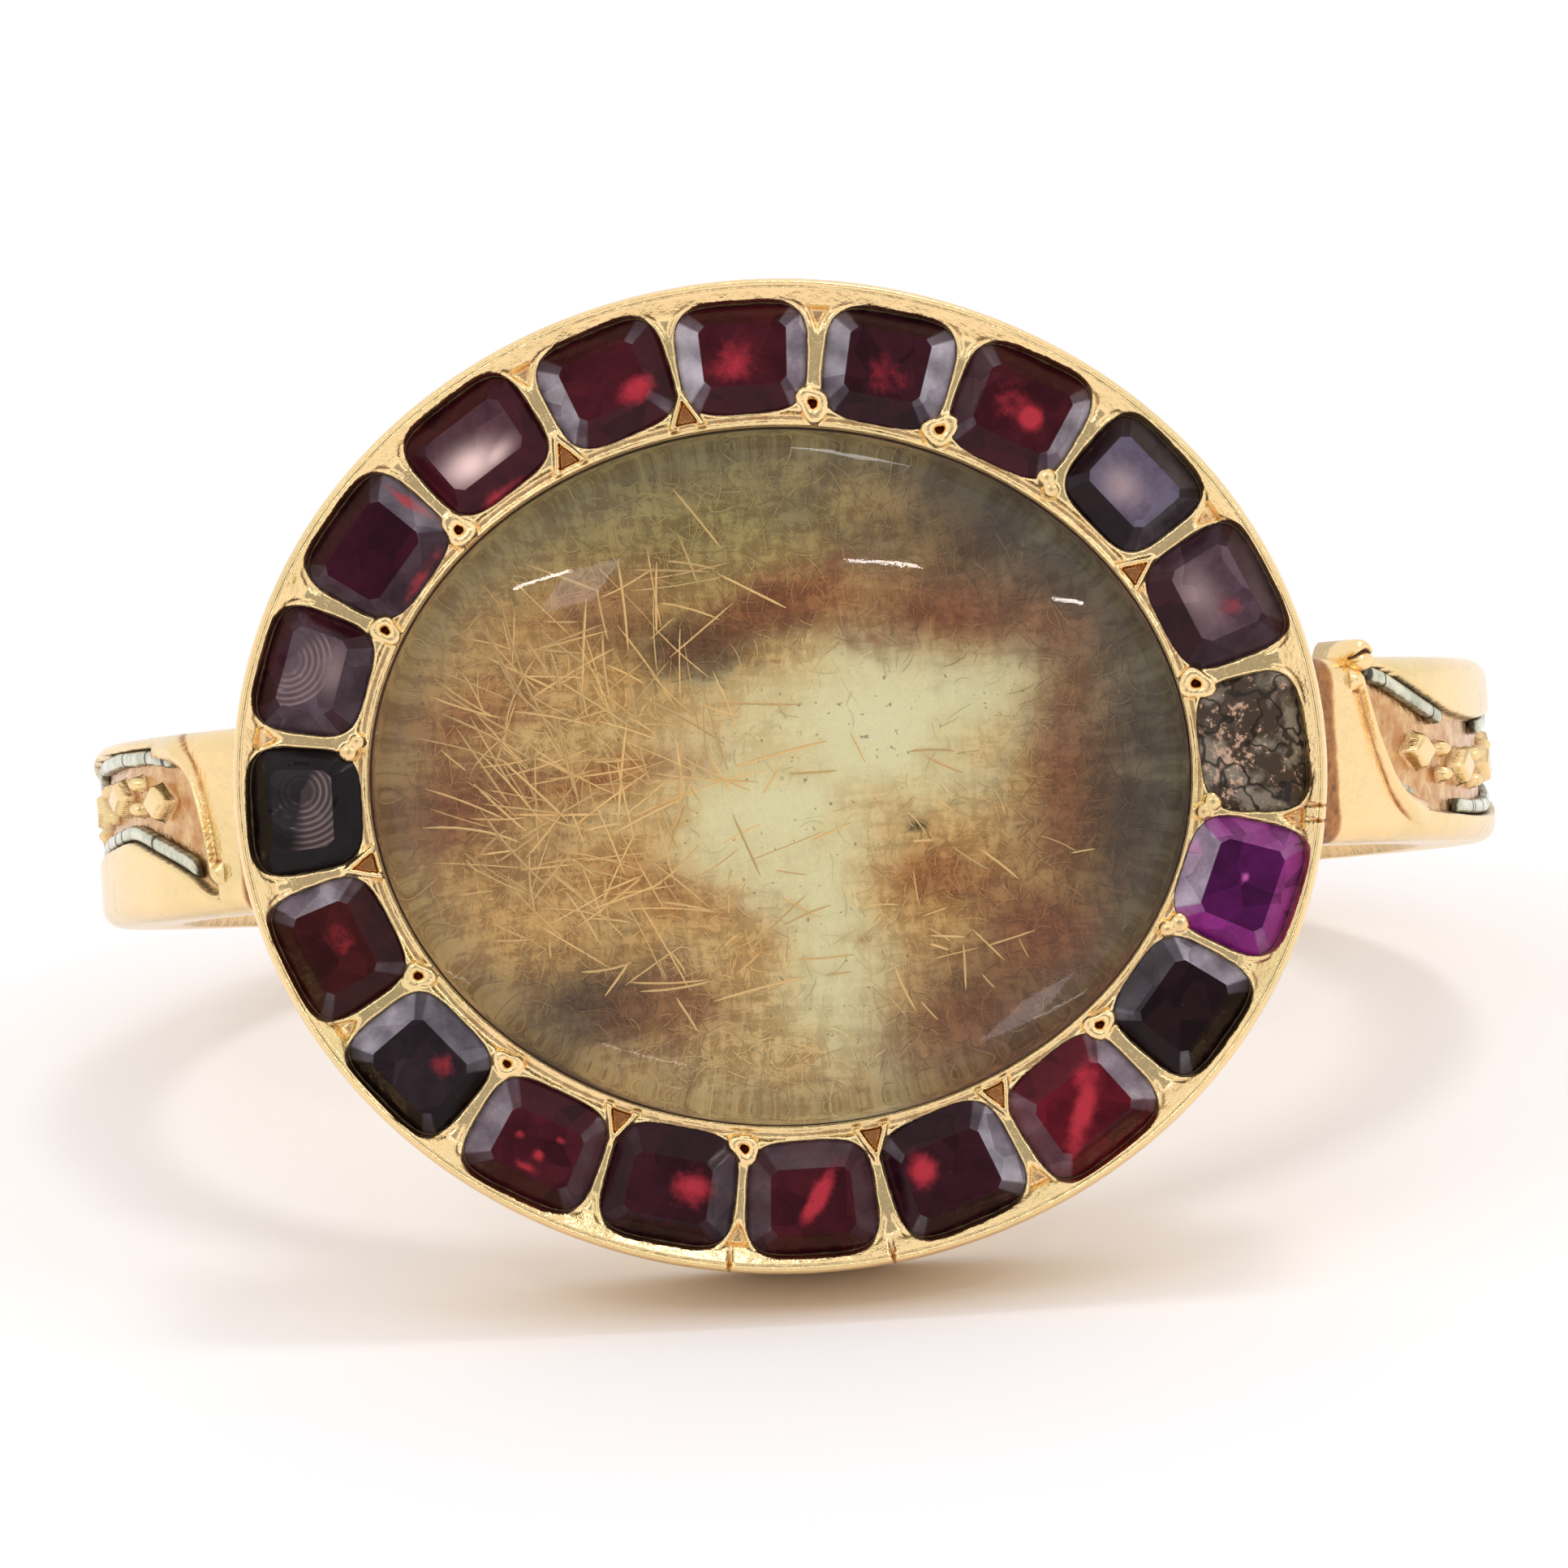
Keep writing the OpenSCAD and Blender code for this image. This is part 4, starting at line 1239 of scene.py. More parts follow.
@dataclass
class Row:
    """The twenty stones."""

    seats: tuple[Seat, ...]
    chamfer: float = 0.10
    corner: float = 0.726
    ripples: float = 74.0
    ripple_h: float = 0.004
    uneven: float = 0.03
    corner_fall: float = 0.8
    table_off: float = 0.02
    table_shares: tuple[float, float, float] = (0.03, 0.94, 0.985)
    bevel_shares: tuple[float, ...] = (0.03, 0.2, 0.4, 0.6, 0.8, 0.97, 1.0)
    under: tuple[tuple[float, float], ...] = ((1.0, 0.0), (0.72, 0.42), (0.4, 1.0))
    rings: int = 12
    chipped_rings: int = 60
    run_steps: int = 10
    corner_steps: int = 5
    chipped_detail: int = 5
    sharp: float = 9.0
    chipped_sharp: float = 30.0

    def _outlines(self, index: int) -> tuple[Array, Array, Array, Array]:
        """Works out the outlines of the table and the stone, point by point, so that mitres join them.

        The table is a rectangle with cut corners. The stone is a squared oval, whose sides run up to a share
        of its half sides and whose corners lie between.

        Args:
            index: the stone, from 0.

        Returns:
            The table's outline, the stone's outline, how far the bevel falls at each point of it, and each
            point's facet: 0 to 3 for right, outer, left and inner, and 4 for a corner.
        """
        seat, rng = self.seats[index], np.random.default_rng(SEED + index)
        usual = np.array([PLAN.table_along, PLAN.table_across])
        wide, high = usual * (1 + self.uneven * rng.standard_normal(2))
        detail = self.chipped_detail if STONES[index].chips else 1
        run = np.linspace(-1, 1, self.run_steps * detail + 1)
        bend = np.linspace(0, 1, self.corner_steps * detail + 1)[1:-1]
        c = self.chamfer / seat.half
        power = 2 / PLAN.cushion_power
        split = math.degrees(math.asin(self.corner ** (1 / power)))
        inner, outer, fall, facet = [], [], [], []
        quarter = np.array([[1, 0], [0, 1]])
        for side in range(4):
            flat = (wide, high)[side % 2]
            reach = (high - c[1], wide - c[0])[side % 2]
            cross = self.corner * run
            across = (1 - np.abs(cross) ** (2 / power)) ** (power / 2)
            turn = np.radians(split + (90 - 2 * split) * bend)
            x, y = np.cos(turn) ** power, np.sin(turn) ** power
            corners = np.stack([flat - (flat - (wide - c[0], high - c[1])[side % 2]) * bend,
                                reach + ((high, wide)[side % 2] - reach) * bend], -1)
            part_in = np.concatenate([np.stack([np.full(len(run), flat), reach * run], -1), corners])
            part_out = np.concatenate([np.stack([across, cross], -1), np.stack([x, y], -1)])
            inner.append(part_in @ quarter)
            outer.append(part_out @ quarter)
            quarter = quarter @ np.array([[0, 1], [-1, 0]])
            fall.append(np.concatenate([(across - flat) / (1 - flat), np.full(len(bend), self.corner_fall)]))
            facet.append(np.concatenate([np.full(len(run), side), np.full(len(bend), 4)]))
        shapes = []
        for flat_shape in (np.concatenate(inner), np.concatenate(outer)):
            y = flat_shape[:, 1] * seat.half[1]
            shapes.append(np.stack([flat_shape[:, 0] * (seat.half[0] + seat.taper * y), y], -1))
        off = np.array([self.table_off * rng.standard_normal(), PLAN.table_out])
        shapes[0] = shapes[0] + off * PLAN.stone_w
        return shapes[0], shapes[1], np.concatenate(fall), np.concatenate(facet)

    def _solid(self, index: int) -> tuple[Array, Array, Array]:
        """Works out one stone as rings, from the middle of its table to its culet.

        The bevels are flat facets that fall from the table's edge. Shells are taken out of a broken table,
        with fine ripples.

        Args:
            index: the stone, from 0.

        Returns:
            Points in the stone's frame, which rings are the table's, and the facet of each column.
        """
        seat, spec, p = self.seats[index], STONES[index], PLAN
        inner, outer, fall, facet = self._outlines(index)
        middle = inner.mean(0)
        first, last, edge = self.table_shares
        rings = self.chipped_rings if spec.chips else self.rings
        table_shares = np.concatenate([np.linspace(first, last, rings), [edge, 1.0]])
        bevel_shares = np.array(self.bevel_shares)
        table = middle + (inner - middle) * table_shares[:, None, None]
        bevel = inner + (outer - inner) * bevel_shares[:, None, None]
        level = np.concatenate([np.full(table.shape[:2], p.table_z),
                                p.table_z - p.bevel_drop * bevel_shares[:, None] * fall[None, :]])
        flat = np.concatenate([table, bevel])
        lean = np.tan(np.radians(spec.tilt))
        level += np.clip((level - p.edge_z) / p.bevel_drop, 0, 1) * (flat @ lean)
        for along, across, radius, depth in spec.chips:
            ball = np.hypot(flat[..., 0] - along * seat.half[0], flat[..., 1] - across * seat.half[1])
            r = radius * p.crown_h
            shell = np.sqrt(np.maximum(r * r - ball * ball, 0))
            bowl = p.table_z + (radius - 0.75 * depth) * p.crown_h - shell
            bowl = bowl + self.ripple_h * np.sin(ball * self.ripples) * np.clip(ball * 2, 0, 1)
            level = np.where(ball < r, np.minimum(level, bowl), level)
        level = np.minimum(level, p.rim_z - 0.02)
        low = p.girdle_z - p.girdle_t
        even = np.ones((len(outer), 1))
        under = np.stack([np.concatenate([outer * share, even * (low - drop * p.pavilion_h)], 1)
                          for share, drop in self.under])
        crown = np.concatenate([flat, level[..., None]], -1)
        on_table = np.arange(len(crown) + len(under)) < len(table)
        return np.concatenate([crown, under]), on_table, facet

    def _paint(self, index: int, points: Array, on_table: Array,
               facet: Array) -> tuple[Array, Array, Array]:
        """Works out how a stone is painted at each point.

        Args:
            index: the stone, from 0.
            points: its points, in its own frame.
            on_table: which rings are the table's.
            facet: the facet of each column.

        Returns:
            Its colour with painted shade, sheen and reflections, its painted glow, and its painted pale
            reflections.
        """
        seat, spec = self.seats[index], STONES[index]
        u, v = points[..., 0] / seat.half[0], points[..., 1] / seat.half[1]
        body = np.array(spec.body)
        # A bevel without its own colour is the body painted darker: painted shade on the sloped facets.
        bevel = np.array(spec.bevel) if spec.bevel else body * 0.75
        # Painted reflection: grey on the chosen sloped facets, a quarter as much on the corners, with a faint
        # ripple.
        share = np.array([*spec.bevel_reflections, max(spec.bevel_reflections) * 0.25])[facet][None, :, None]
        pale = np.array(REFLECTED_GREY)
        sloped = bevel * (1 - share) + pale * share * (0.8 + 0.2 * np.sin(9 * v + 4 * u))[..., None]
        # Painted sheen: the table lightened towards grey.
        table = body * (1 - spec.sheen) + pale * spec.sheen * 0.5
        reflection_veil = self._spots(spec.reflection_veils, u, v)
        # Painted highlight: the lit side of each broken shell, brightest on its ripples' crests.
        for along, across, radius, _ in spec.chips:
            x, y = points[..., 0] - along * seat.half[0], points[..., 1] - across * seat.half[1]
            ball = np.hypot(x, y)
            lit = smoothstep(0.25, (-y - 0.4 * x) / np.maximum(ball, 0.01) - 0.35)
            lit = lit * (ball < radius * PLAN.crown_h)
            crest = (0.5 + 0.5 * np.sin(ball * self.ripples)) ** 2 * smoothstep(0.06, ball - 0.2)
            reflection_veil = np.maximum(reflection_veil, lit * (0.04 + 0.16 * crest))
        colour = np.where(on_table[:, None, None], table, sloped)
        return np.clip(colour, 0, 1), self._spots(spec.glows, u, v), np.clip(reflection_veil, 0, 1) * on_table[:, None]

    @staticmethod
    def _spots(spots: Sequence[Glow], u: Array, v: Array) -> Array:
        """Works out the strongest of some soft oval spots, each exp(-d ^ 2) of the distance from its middle.

        Args:
            spots: the spots.
            u: places along, as shares of a stone's half side.
            v: places across, as shares of its other half side.

        Returns:
            The strength at each place.
        """
        total = np.zeros(u.shape)
        for spot in spots:
            a = math.radians(spot.turn)
            x = (u - spot.x) * math.cos(a) + (v - spot.y) * math.sin(a)
            y = -(u - spot.x) * math.sin(a) + (v - spot.y) * math.cos(a)
            total = np.maximum(total, spot.strength * np.exp(-(x / spot.wide) ** 2 - (y / spot.high) ** 2))
        return total

    def build(self, ring: RingFrame) -> list[Piece]:
        """Makes the stones.

        Args:
            ring: the ring's frame.

        Returns:
            One piece for each stone, in order.
        """
        pieces = []
        for index, seat in enumerate(self.seats):
            points, on_table, facet = self._solid(index)
            piece = grid_piece(f"cut_stone_{index + 1:02d}", ring.head(seat.world(points)), Form.CAPPED)
            sharp = self.chipped_sharp if STONES[index].chips else self.sharp
            piece.data.set_sharp_from_angle(angle=math.radians(sharp))
            for layer, values in zip(("tint", "glow", "pale"), self._paint(index, points, on_table, facet)):
                paint(piece, layer, values)
            pieces.append(piece)
        return pieces


@dataclass
class Dome:
    """The crystal: an upright edge, and a dome of height rise * sin(t) ^ flat where the oval is cos(t)."""

    sides: int = 180
    rows: int = 60
    flat: float = 0.75
    top: float = 88.5
    edge: float = 0.03

    def build(self, ring: RingFrame) -> Piece:
        """Makes the crystal.

        Args:
            ring: the ring's frame.

        Returns:
            The crystal.
        """
        p = PLAN
        low = p.ledge_z + p.fit
        angles = -np.arange(self.sides) * 360 / self.sides
        t = np.radians(np.linspace(0, self.top, self.rows))
        levels = [(0.3, low), (0.7, low), (0.985, low), (1.0, low + self.edge),
                  (1.0, low + p.crystal_edge / 2)]
        scale = np.array([s for s, _ in levels] + list(np.cos(t)))
        z = np.array([v for _, v in levels] + list(low + p.crystal_edge + p.dome_h * np.sin(t) ** self.flat))
        points = oval(p.crystal * scale[:, None, None], angles[None, :])
        grid = np.concatenate([points, np.broadcast_to(z[:, None, None], points.shape[:2] + (1,))], -1)
        return grid_piece("crystal_dome", ring.head(grid), Form.CAPPED)


@dataclass(frozen=True)
class Cloud:
    """A soft patch of hair or stain on the ground: place, half sides, turn, colour and strength."""

    x: float
    y: float
    wide: float
    high: float
    turn: float
    colour: Colour
    strength: float


CREAM = (0.72, 0.69, 0.42)
AUBURN = (0.27, 0.090, 0.026)
RUST = (0.42, 0.17, 0.05)
UMBER = (0.080, 0.038, 0.015)
TAN = (0.64, 0.41, 0.15)
SAND = (0.68, 0.53, 0.25)
OLIVE = (0.36, 0.29, 0.10)

CLOUDS = (
    Cloud(-1.2, 3.5, 3.4, 1.5, 8, OLIVE, 0.95),
    Cloud(-3.0, -3.0, 2.4, 1.6, -20, TAN, 0.9),
    Cloud(3.4, 3.0, 2.6, 1.7, -30, UMBER, 1.0),
    Cloud(4.8, -0.2, 1.4, 3.2, 0, UMBER, 1.0),
    Cloud(3.2, -2.9, 1.7, 1.5, 40, (0.20, 0.10, 0.035), 0.95),
    Cloud(-3.2, 0.2, 1.2, 1.5, 0, SAND, 0.7),
    Cloud(-0.3, -3.4, 1.5, 0.9, 0, SAND, 0.8),
    Cloud(1.2, 0.75, 2.1, 1.4, 10, CREAM, 1.0),
    Cloud(-0.5, -0.6, 1.5, 1.2, -25, CREAM, 0.9),
    Cloud(0.7, -2.2, 0.8, 1.7, 8, CREAM, 0.9),
    Cloud(2.9, 1.2, 0.8, 0.6, 20, CREAM, 0.7),
    Cloud(2.25, 2.25, 1.5, 0.5, -8, AUBURN, 0.95),
    Cloud(0.3, 2.5, 0.9, 0.4, 0, RUST, 0.85),
    Cloud(3.85, 0.1, 0.45, 1.7, 0, AUBURN, 0.8),
    Cloud(2.4, -1.5, 0.95, 0.8, 20, TAN, 0.9),
    Cloud(2.0, -1.3, 0.6, 0.38, 20, RUST, 0.9),
    Cloud(1.9, -0.65, 0.14, 0.08, 0, (0.03, 0.035, 0.015), 0.9),
    Cloud(3.5, -2.1, 0.9, 0.65, -30, AUBURN, 0.9),
    Cloud(2.6, -3.3, 1.0, 0.5, 10, AUBURN, 0.8),
    Cloud(-1.1, 1.9, 1.1, 0.45, 5, UMBER, 0.95),
    Cloud(-0.4, 2.25, 0.9, 0.36, 15, AUBURN, 0.85),
    Cloud(-2.6, 2.3, 1.1, 0.5, 20, RUST, 0.6),
    Cloud(-4.5, -0.4, 0.95, 0.8, 0, AUBURN, 0.9),
    Cloud(-4.1, 0.9, 1.0, 0.4, 10, RUST, 0.7),
    Cloud(-2.65, -3.0, 1.1, 0.6, 0, UMBER, 0.9),
    Cloud(-1.35, -3.1, 0.8, 0.4, 0, AUBURN, 0.8),
    Cloud(-2.6, 0.0, 1.4, 0.28, 12, RUST, 0.7),
    Cloud(-1.6, -1.5, 1.2, 0.35, -20, RUST, 0.5),
)


@dataclass
class HairPicture:
    """The pale ground and the cut hair that lies on it."""

    edge_shade: Colour = (0.085, 0.090, 0.045)
    magnified: float = 1.03
    straws: int = 260
    straw_left: float = 0.85
    straw_ways: tuple[float, ...] = (1.9, 0.35, 2.7)
    fibres: int = 5200
    fibre_long: tuple[float, float] = (0.12, 0.42)
    fibre_r: tuple[float, float] = (0.005, 0.009)
    fibre_pile: float = 0.1
    hair_steps: int = 7
    hair_sides: int = 3
    ground_sides: int = 300
    ground_rings: int = 120
    straw_tone: Colour = (0.74, 0.50, 0.21)

    def _cover(self, x: Array, y: Array) -> tuple[Array, Array]:
        """Works out the colour of the ground and how thick the hair lies on it.

        Each cloud is exp(-d ^ 2.4) of the distance from its middle, broken up by sums of sines, on a tan
        base. A painted shade darkens the border, strongest at the upper right.

        Args:
            x: places to the right.
            y: places upwards.

        Returns:
            The colour and the thickness at each place.
        """
        far = np.hypot(x / PLAN.chamber[0], y / PLAN.chamber[1])
        shade = 0.75 + 0.25 * (x / PLAN.chamber[0] + y / PLAN.chamber[1]) / np.maximum(far * 1.42, 0.01)
        x, y = x * self.magnified, y * self.magnified
        colour = np.broadcast_to(np.array(TAN), x.shape + (3,)).copy()
        thick = np.full(x.shape, 0.8)
        ragged = 0.5 * np.sin(2.1 * x + 1.3 * y + np.sin(3.3 * y))
        ragged += 0.5 * np.sin(4.7 * y - 2.9 * x + np.sin(5.1 * x))
        ragged += 0.35 * np.sin(9.1 * x + 2.0 * np.sin(7.3 * y)) * np.sin(8.3 * y + 1.5 * np.sin(6.1 * x))
        for cloud in CLOUDS:
            a = math.radians(cloud.turn)
            u = ((x - cloud.x) * math.cos(a) + (y - cloud.y) * math.sin(a)) / cloud.wide
            v = (-(x - cloud.x) * math.sin(a) + (y - cloud.y) * math.cos(a)) / cloud.high
            share = cloud.strength * np.exp(-(u * u + v * v) ** 1.2 * (1 + 0.6 * ragged))
            colour = colour * (1 - share[..., None]) + share[..., None] * np.array(cloud.colour)
            thick = thick * (1 - share) + share * (0.0 if cloud.colour is CREAM else 1.0)
        # Painted shade along the chamber's border, strongest at the upper right.
        dark = (smoothstep(0.09, far - 0.91) * shade)[..., None]
        return colour * (1 - dark) + dark * np.array(self.edge_shade), thick

    def ground(self, ring: RingFrame) -> Piece:
        """Makes the ground: a thin plate with soft hollows, painted with its stains
        and with painted shade at its edge.

        Args:
            ring: the ring's frame.

        Returns:
            The plate.
        """
        p = PLAN
        angles = -np.arange(self.ground_sides) * 360 / self.ground_sides
        edge = p.chamber - p.fit
        share = np.concatenate([np.linspace(0.01, 0.99, self.ground_rings), [1.0, 1.0, 0.98, 0.5]])
        points = oval(edge * share[:, None, None], angles[None, :])
        z = p.ground_z - 0.02 + 0.008 * np.sin(1.9 * points[..., 0]) * np.sin(2.3 * points[..., 1])
        low = p.chamber_z + p.fit
        z[-4] = p.ground_z - 0.03
        z[-3] = low + 0.01
        z[-2:] = low
        grid = np.concatenate([points, z[..., None]], -1)
        piece = grid_piece("pale_ground", ring.head(grid), Form.CAPPED)
        colour, thick = self._cover(points[..., 0], points[..., 1])
        paint(piece, "tint", colour)
        paint(piece, "cover", thick)
        return piece

    def _tubes(self, name: str, ring: RingFrame, start: Array, heading: Array, length: Array, bend: Array,
               low: Array, high: Array, radius: Array, colour: Array) -> Piece:
        """Makes many hairs as one piece: three-sided tubes along arcs that lie almost flat.

        A hair starts at a place and runs in its heading, which turns evenly by bend over its length, and its
        height goes evenly from low to high. Its radius falls to a third at both tips.

        Args:
            name: the piece's name.
            ring: the ring's frame.
            start: places of the first tips on the face.
            heading: first directions, in radians.
            length: lengths.
            bend: turns from tip to tip, in radians.
            low: heights of the first tips.
            high: heights of the last tips.
            radius: radii.
            colour: colours.

        Returns:
            The piece.
        """
        steps, sides = self.hair_steps, self.hair_sides
        s = np.linspace(0, 1, steps)
        course = heading[:, None] + bend[:, None] * s[None, :]
        stride = length[:, None] / (steps - 1)
        run = [np.cumsum(f(course[:, :-1]) * stride, 1) for f in (np.cos, np.sin)]
        x, y = (start[:, k:k + 1] + np.concatenate([np.zeros((len(start), 1)), run[k]], 1) for k in range(2))
        z = low[:, None] + (high - low)[:, None] * s[None, :]
        thick = radius[:, None] * np.interp(s, [0, 0.15, 0.85, 1], [0.35, 1, 1, 0.35])[None, :]
        turn = np.arange(sides) * 2 * np.pi / sides
        side = thick[..., None] * np.cos(turn)
        up = thick[..., None] * np.sin(turn)
        points = np.stack([x[..., None] - np.sin(course)[..., None] * side,
                           y[..., None] + np.cos(course)[..., None] * side, z[..., None] + up], -1)
        block = (np.arange(len(start)) * steps * sides)[:, None, None]
        last = (steps - 1) * sides
        quads = (grid_faces(steps, sides, False)[None] + block).reshape(-1, 4)
        caps = (np.array([[0, 1, 2], [last + 2, last + 1, last]])[None] + block).reshape(-1, 3)
        piece = mesh_piece(name, ring.head(points.reshape(-1, 3)), quads, caps)
        paint(piece, "tint", np.repeat(colour, steps * sides, 0))
        return piece

    def fuzz(self, ring: RingFrame) -> Piece:
        """Makes the chopped fine hair, which lies where the clouds are thick.

        Args:
            ring: the ring's frame.

        Returns:
            The piece.
        """
        rng = np.random.default_rng(SEED + 50)
        radius = np.sqrt(rng.random(self.fibres * 6))
        start = oval((PLAN.chamber - 0.12) * radius[:, None], rng.random(self.fibres * 6) * 360)
        colour, thick = self._cover(start[:, 0], start[:, 1])
        thick = thick * (radius < 0.93)
        keep = np.flatnonzero(rng.random(len(start)) < thick ** 1.3)[:self.fibres]
        start, colour = start[keep], colour[keep]
        n = len(keep)
        floor = PLAN.ground_z - 0.012
        length = rng.uniform(*self.fibre_long, n)
        colour = np.clip(colour * rng.uniform(0.62, 1.3, (n, 1)), 0, 1)
        low = floor + rng.random(n) ** 2 * self.fibre_pile
        return self._tubes("hair_fuzz", ring, self._inside(start, length), rng.random(n) * 2 * np.pi, length,
                           rng.normal(0, 0.8, n), low, floor + rng.random(n) ** 2 * self.fibre_pile,
                           rng.uniform(*self.fibre_r, n), colour)

    def _inside(self, start: Array, length: Array) -> Array:
        """Pulls places towards the middle so that hairs of that length stay in the chamber."""
        limit = 1 - (length * 0.7)[:, None] / PLAN.chamber[1]
        return start * np.minimum(limit * 1.05, 1)

    def straw(self, ring: RingFrame) -> Piece:
        """Makes the longer straw-coloured hairs, most of which lie crossed on the left.

        Args:
            ring: the ring's frame.

        Returns:
            The piece.
        """
        rng = np.random.default_rng(SEED + 60)
        n = self.straws
        left = rng.random(n) < self.straw_left
        x = np.where(left, rng.normal(-3.0, 1.25, n), rng.normal(0.6, 2.2, n))
        y = np.where(left, rng.normal(-0.4, 1.7, n), rng.normal(-1.8, 1.4, n))
        far = np.hypot(x / PLAN.chamber[0], y / PLAN.chamber[1])
        pull = np.minimum(1, 0.80 / far)
        start = np.stack([x * pull, y * pull], -1)
        length = np.where(left, rng.uniform(0.4, 1.4, n), rng.uniform(0.2, 0.7, n))
        heading = rng.choice(self.straw_ways, n) + rng.normal(0, 0.35, n)
        tone = np.array(self.straw_tone) * rng.uniform(0.75, 1.2, (n, 1))
        floor = PLAN.ground_z
        bend = rng.normal(0, 0.18, n)
        low, high = (floor + rng.uniform(0.03, 0.18, n) for _ in range(2))
        return self._tubes("hair_straw", ring, self._inside(start, length), heading, length, bend, low, high,
                           rng.uniform(0.010, 0.023, n), np.clip(tone, 0, 1))


RIBBON = (
    (0.00, 0.80, 0.92), (0.02, 0.50, 0.92), (0.05, 0.12, 0.92), (0.11, -0.36, 0.86), (0.20, -0.60, 0.70),
    (0.30, -0.68, 0.53), (0.42, -0.71, 0.38), (0.60, -0.73, 0.32), (0.80, -0.68, 0.40), (1.00, -0.52, 0.60),
    (1.24, -0.26, 0.80), (1.48, -0.14, 0.88), (1.60, -0.12, 0.88), (1.73, -0.28, 0.86), (1.87, -0.51, 0.72),
    (1.94, -0.70, 0.45), (1.98, -0.79, -0.10), (2.00, -0.82, -0.60),
)


@dataclass
class Hoop:
    """The hoop: a band with three sunk ribbons, whose ends have raised lips, and enamel along their borders.

    A ribbon runs from its right tip, which points up, to its left tip, which points down. The table RIBBON
    gives places as shares of half its length, and borders as shares of the band's half width.
    """

    bore_r: float = 8.75
    band_t: float = 1.2
    band_w: float = 2.6
    band_round: float = 0.3
    shoulder_r: float = 0.8
    ribbon_start: float = 54.0
    ribbon_gap: float = 4.0
    depth: float = 0.22
    lip_h: float = 0.12
    lip_w: float = 0.3
    lip_end: float = 0.13
    lip_taper: float = 0.75
    lozenge: tuple[float, float] = (0.46, 0.3)
    dot_r: float = 0.12
    ornaments: int = 7
    ornament_start: float = 0.26
    dot_apart: float = 0.12
    curl_r: float = 0.22
    curl_place: float = 0.012
    curl_long: float = 1.05
    curl_lift: float = 0.09
    groove_depth: float = 0.09
    shadow_end: float = 50.6
    wall_soft: float = 0.035
    border_dark: tuple[float, float] = (0.032, 0.7)
    lip_fade: float = 0.12
    lip_line: tuple[float, float] = (1.02, 0.11)
    lip_zone: tuple[float, float] = (53, 60)
    seen: tuple[float, float] = (42, 95)
    column_step: tuple[float, float, float, float] = (0.3, 0.018, 0.042, 0.095)
    face_rows: int = 76
    strip_steps: int = 60
    strip_across: tuple[float, ...] = (0, 0.05, 0.2, 0.4, 0.6, 0.8, 0.95, 1.0, 0.5)
    strip_dome: tuple[float, ...] = (0, 0.7, 0.93, 1.0, 1.0, 0.93, 0.7, 0, 0)
    strip_end: float = 0.012
    strip_cracks: int = 5
    enamel_w: float = 0.22
    enamel_t: float = 0.14
    fit: float = 0.02
    high_stretches: tuple[tuple[float, float], ...] = ((0.05, 0.38), (0.66, 1.24), (1.28, 1.82))
    low_stretches: tuple[tuple[float, float], ...] = ((0.13, 0.22), (0.45, 1.10), (1.16, 1.90))

    @property
    def band_r(self) -> float:
        """Outer radius of the band."""
        return self.bore_r + self.band_t

    @property
    def ribbon_half(self) -> float:
        """Half the length of a ribbon, in degrees."""
        return (360 - 2 * self.ribbon_start - 2 * self.ribbon_gap) / 6

    def _border(self, u: Array, column: int) -> Array:
        """Works out a ribbon's border: a cubic through the table's rows, with slopes from their neighbours.

        Args:
            u: places in the ribbon, from 0 to 2.
            column: 1 for the lower border and 2 for the upper one.

        Returns:
            The border's height at each place.
        """
        table = np.array(RIBBON)
        x, y = table[:, 0], table[:, column] * self.band_w / 2
        before, after = np.maximum(np.arange(len(x)) - 1, 0), np.minimum(np.arange(len(x)) + 1, len(x) - 1)
        slope = (y[after] - y[before]) / (x[after] - x[before])
        i = np.clip(np.searchsorted(x, u, side="left") - 1, 0, len(x) - 2)
        w = x[i + 1] - x[i]
        t = (u - x[i]) / w
        return ((2 * t ** 3 - 3 * t ** 2 + 1) * y[i] + (t ** 3 - 2 * t ** 2 + t) * w * slope[i]
                + (3 * t ** 2 - 2 * t ** 3) * y[i + 1] + (t ** 3 - t ** 2) * w * slope[i + 1])

    def angle(self, index: int, u: Array) -> Array:
        """Returns the angle round the hoop of a place in a ribbon, where u goes from 0 to 2."""
        return (self.ribbon_start + self.ribbon_half + index * (2 * self.ribbon_half + self.ribbon_gap)
                + (u - 1) * self.ribbon_half)

    @staticmethod
    def _off(angles: Array, place: float) -> Array:
        """Returns how far angles lie from a place on the hoop, the shorter way round, in degrees."""
        return (angles - place + 180) % 360 - 180

    def _relief(self, angles: Array, heights: Array) -> tuple[Array, Array, Array]:
        """Works out how far the band's face lies off its round, and where it is painted coppery and dark.

        A ribbon is sunk between its borders with soft walls. Lozenges are pyramids with a flat top and dots
        are domes, both as high as the band, and the lips are half rounds along the borders of the ends.

        Args:
            angles: places round the hoop, in degrees.
            heights: places along the finger.

        Returns:
            The relief, and the painted coppery and dark shares, at each place: patina, soiling and painted
            shade.
        """
        off = np.zeros(np.broadcast(angles, heights).shape)
        hollow, dirt = off.copy(), off.copy()
        fade, third = self.lip_fade, self.lip_w / 3
        for index in range(3):
            u = 1 + self._off(angles, float(self.angle(index, np.array(1.0)))) / self.ribbon_half
            inside = (u >= 0) & (u <= 2)
            v = np.clip(u, 0, 2)
            low, high = self._border(v, 1), self._border(v, 2)
            from_end = np.minimum(u, 2 - u) * math.radians(self.ribbon_half) * self.band_r
            depth_in = np.minimum(np.minimum(heights - low, high - heights), from_end)
            sunk = smoothstep(self.wall_soft, depth_in)
            raised = self._ornament(index, angles, heights)
            off = np.where(inside, off - self.depth * sunk + self.depth * raised * sunk, off)
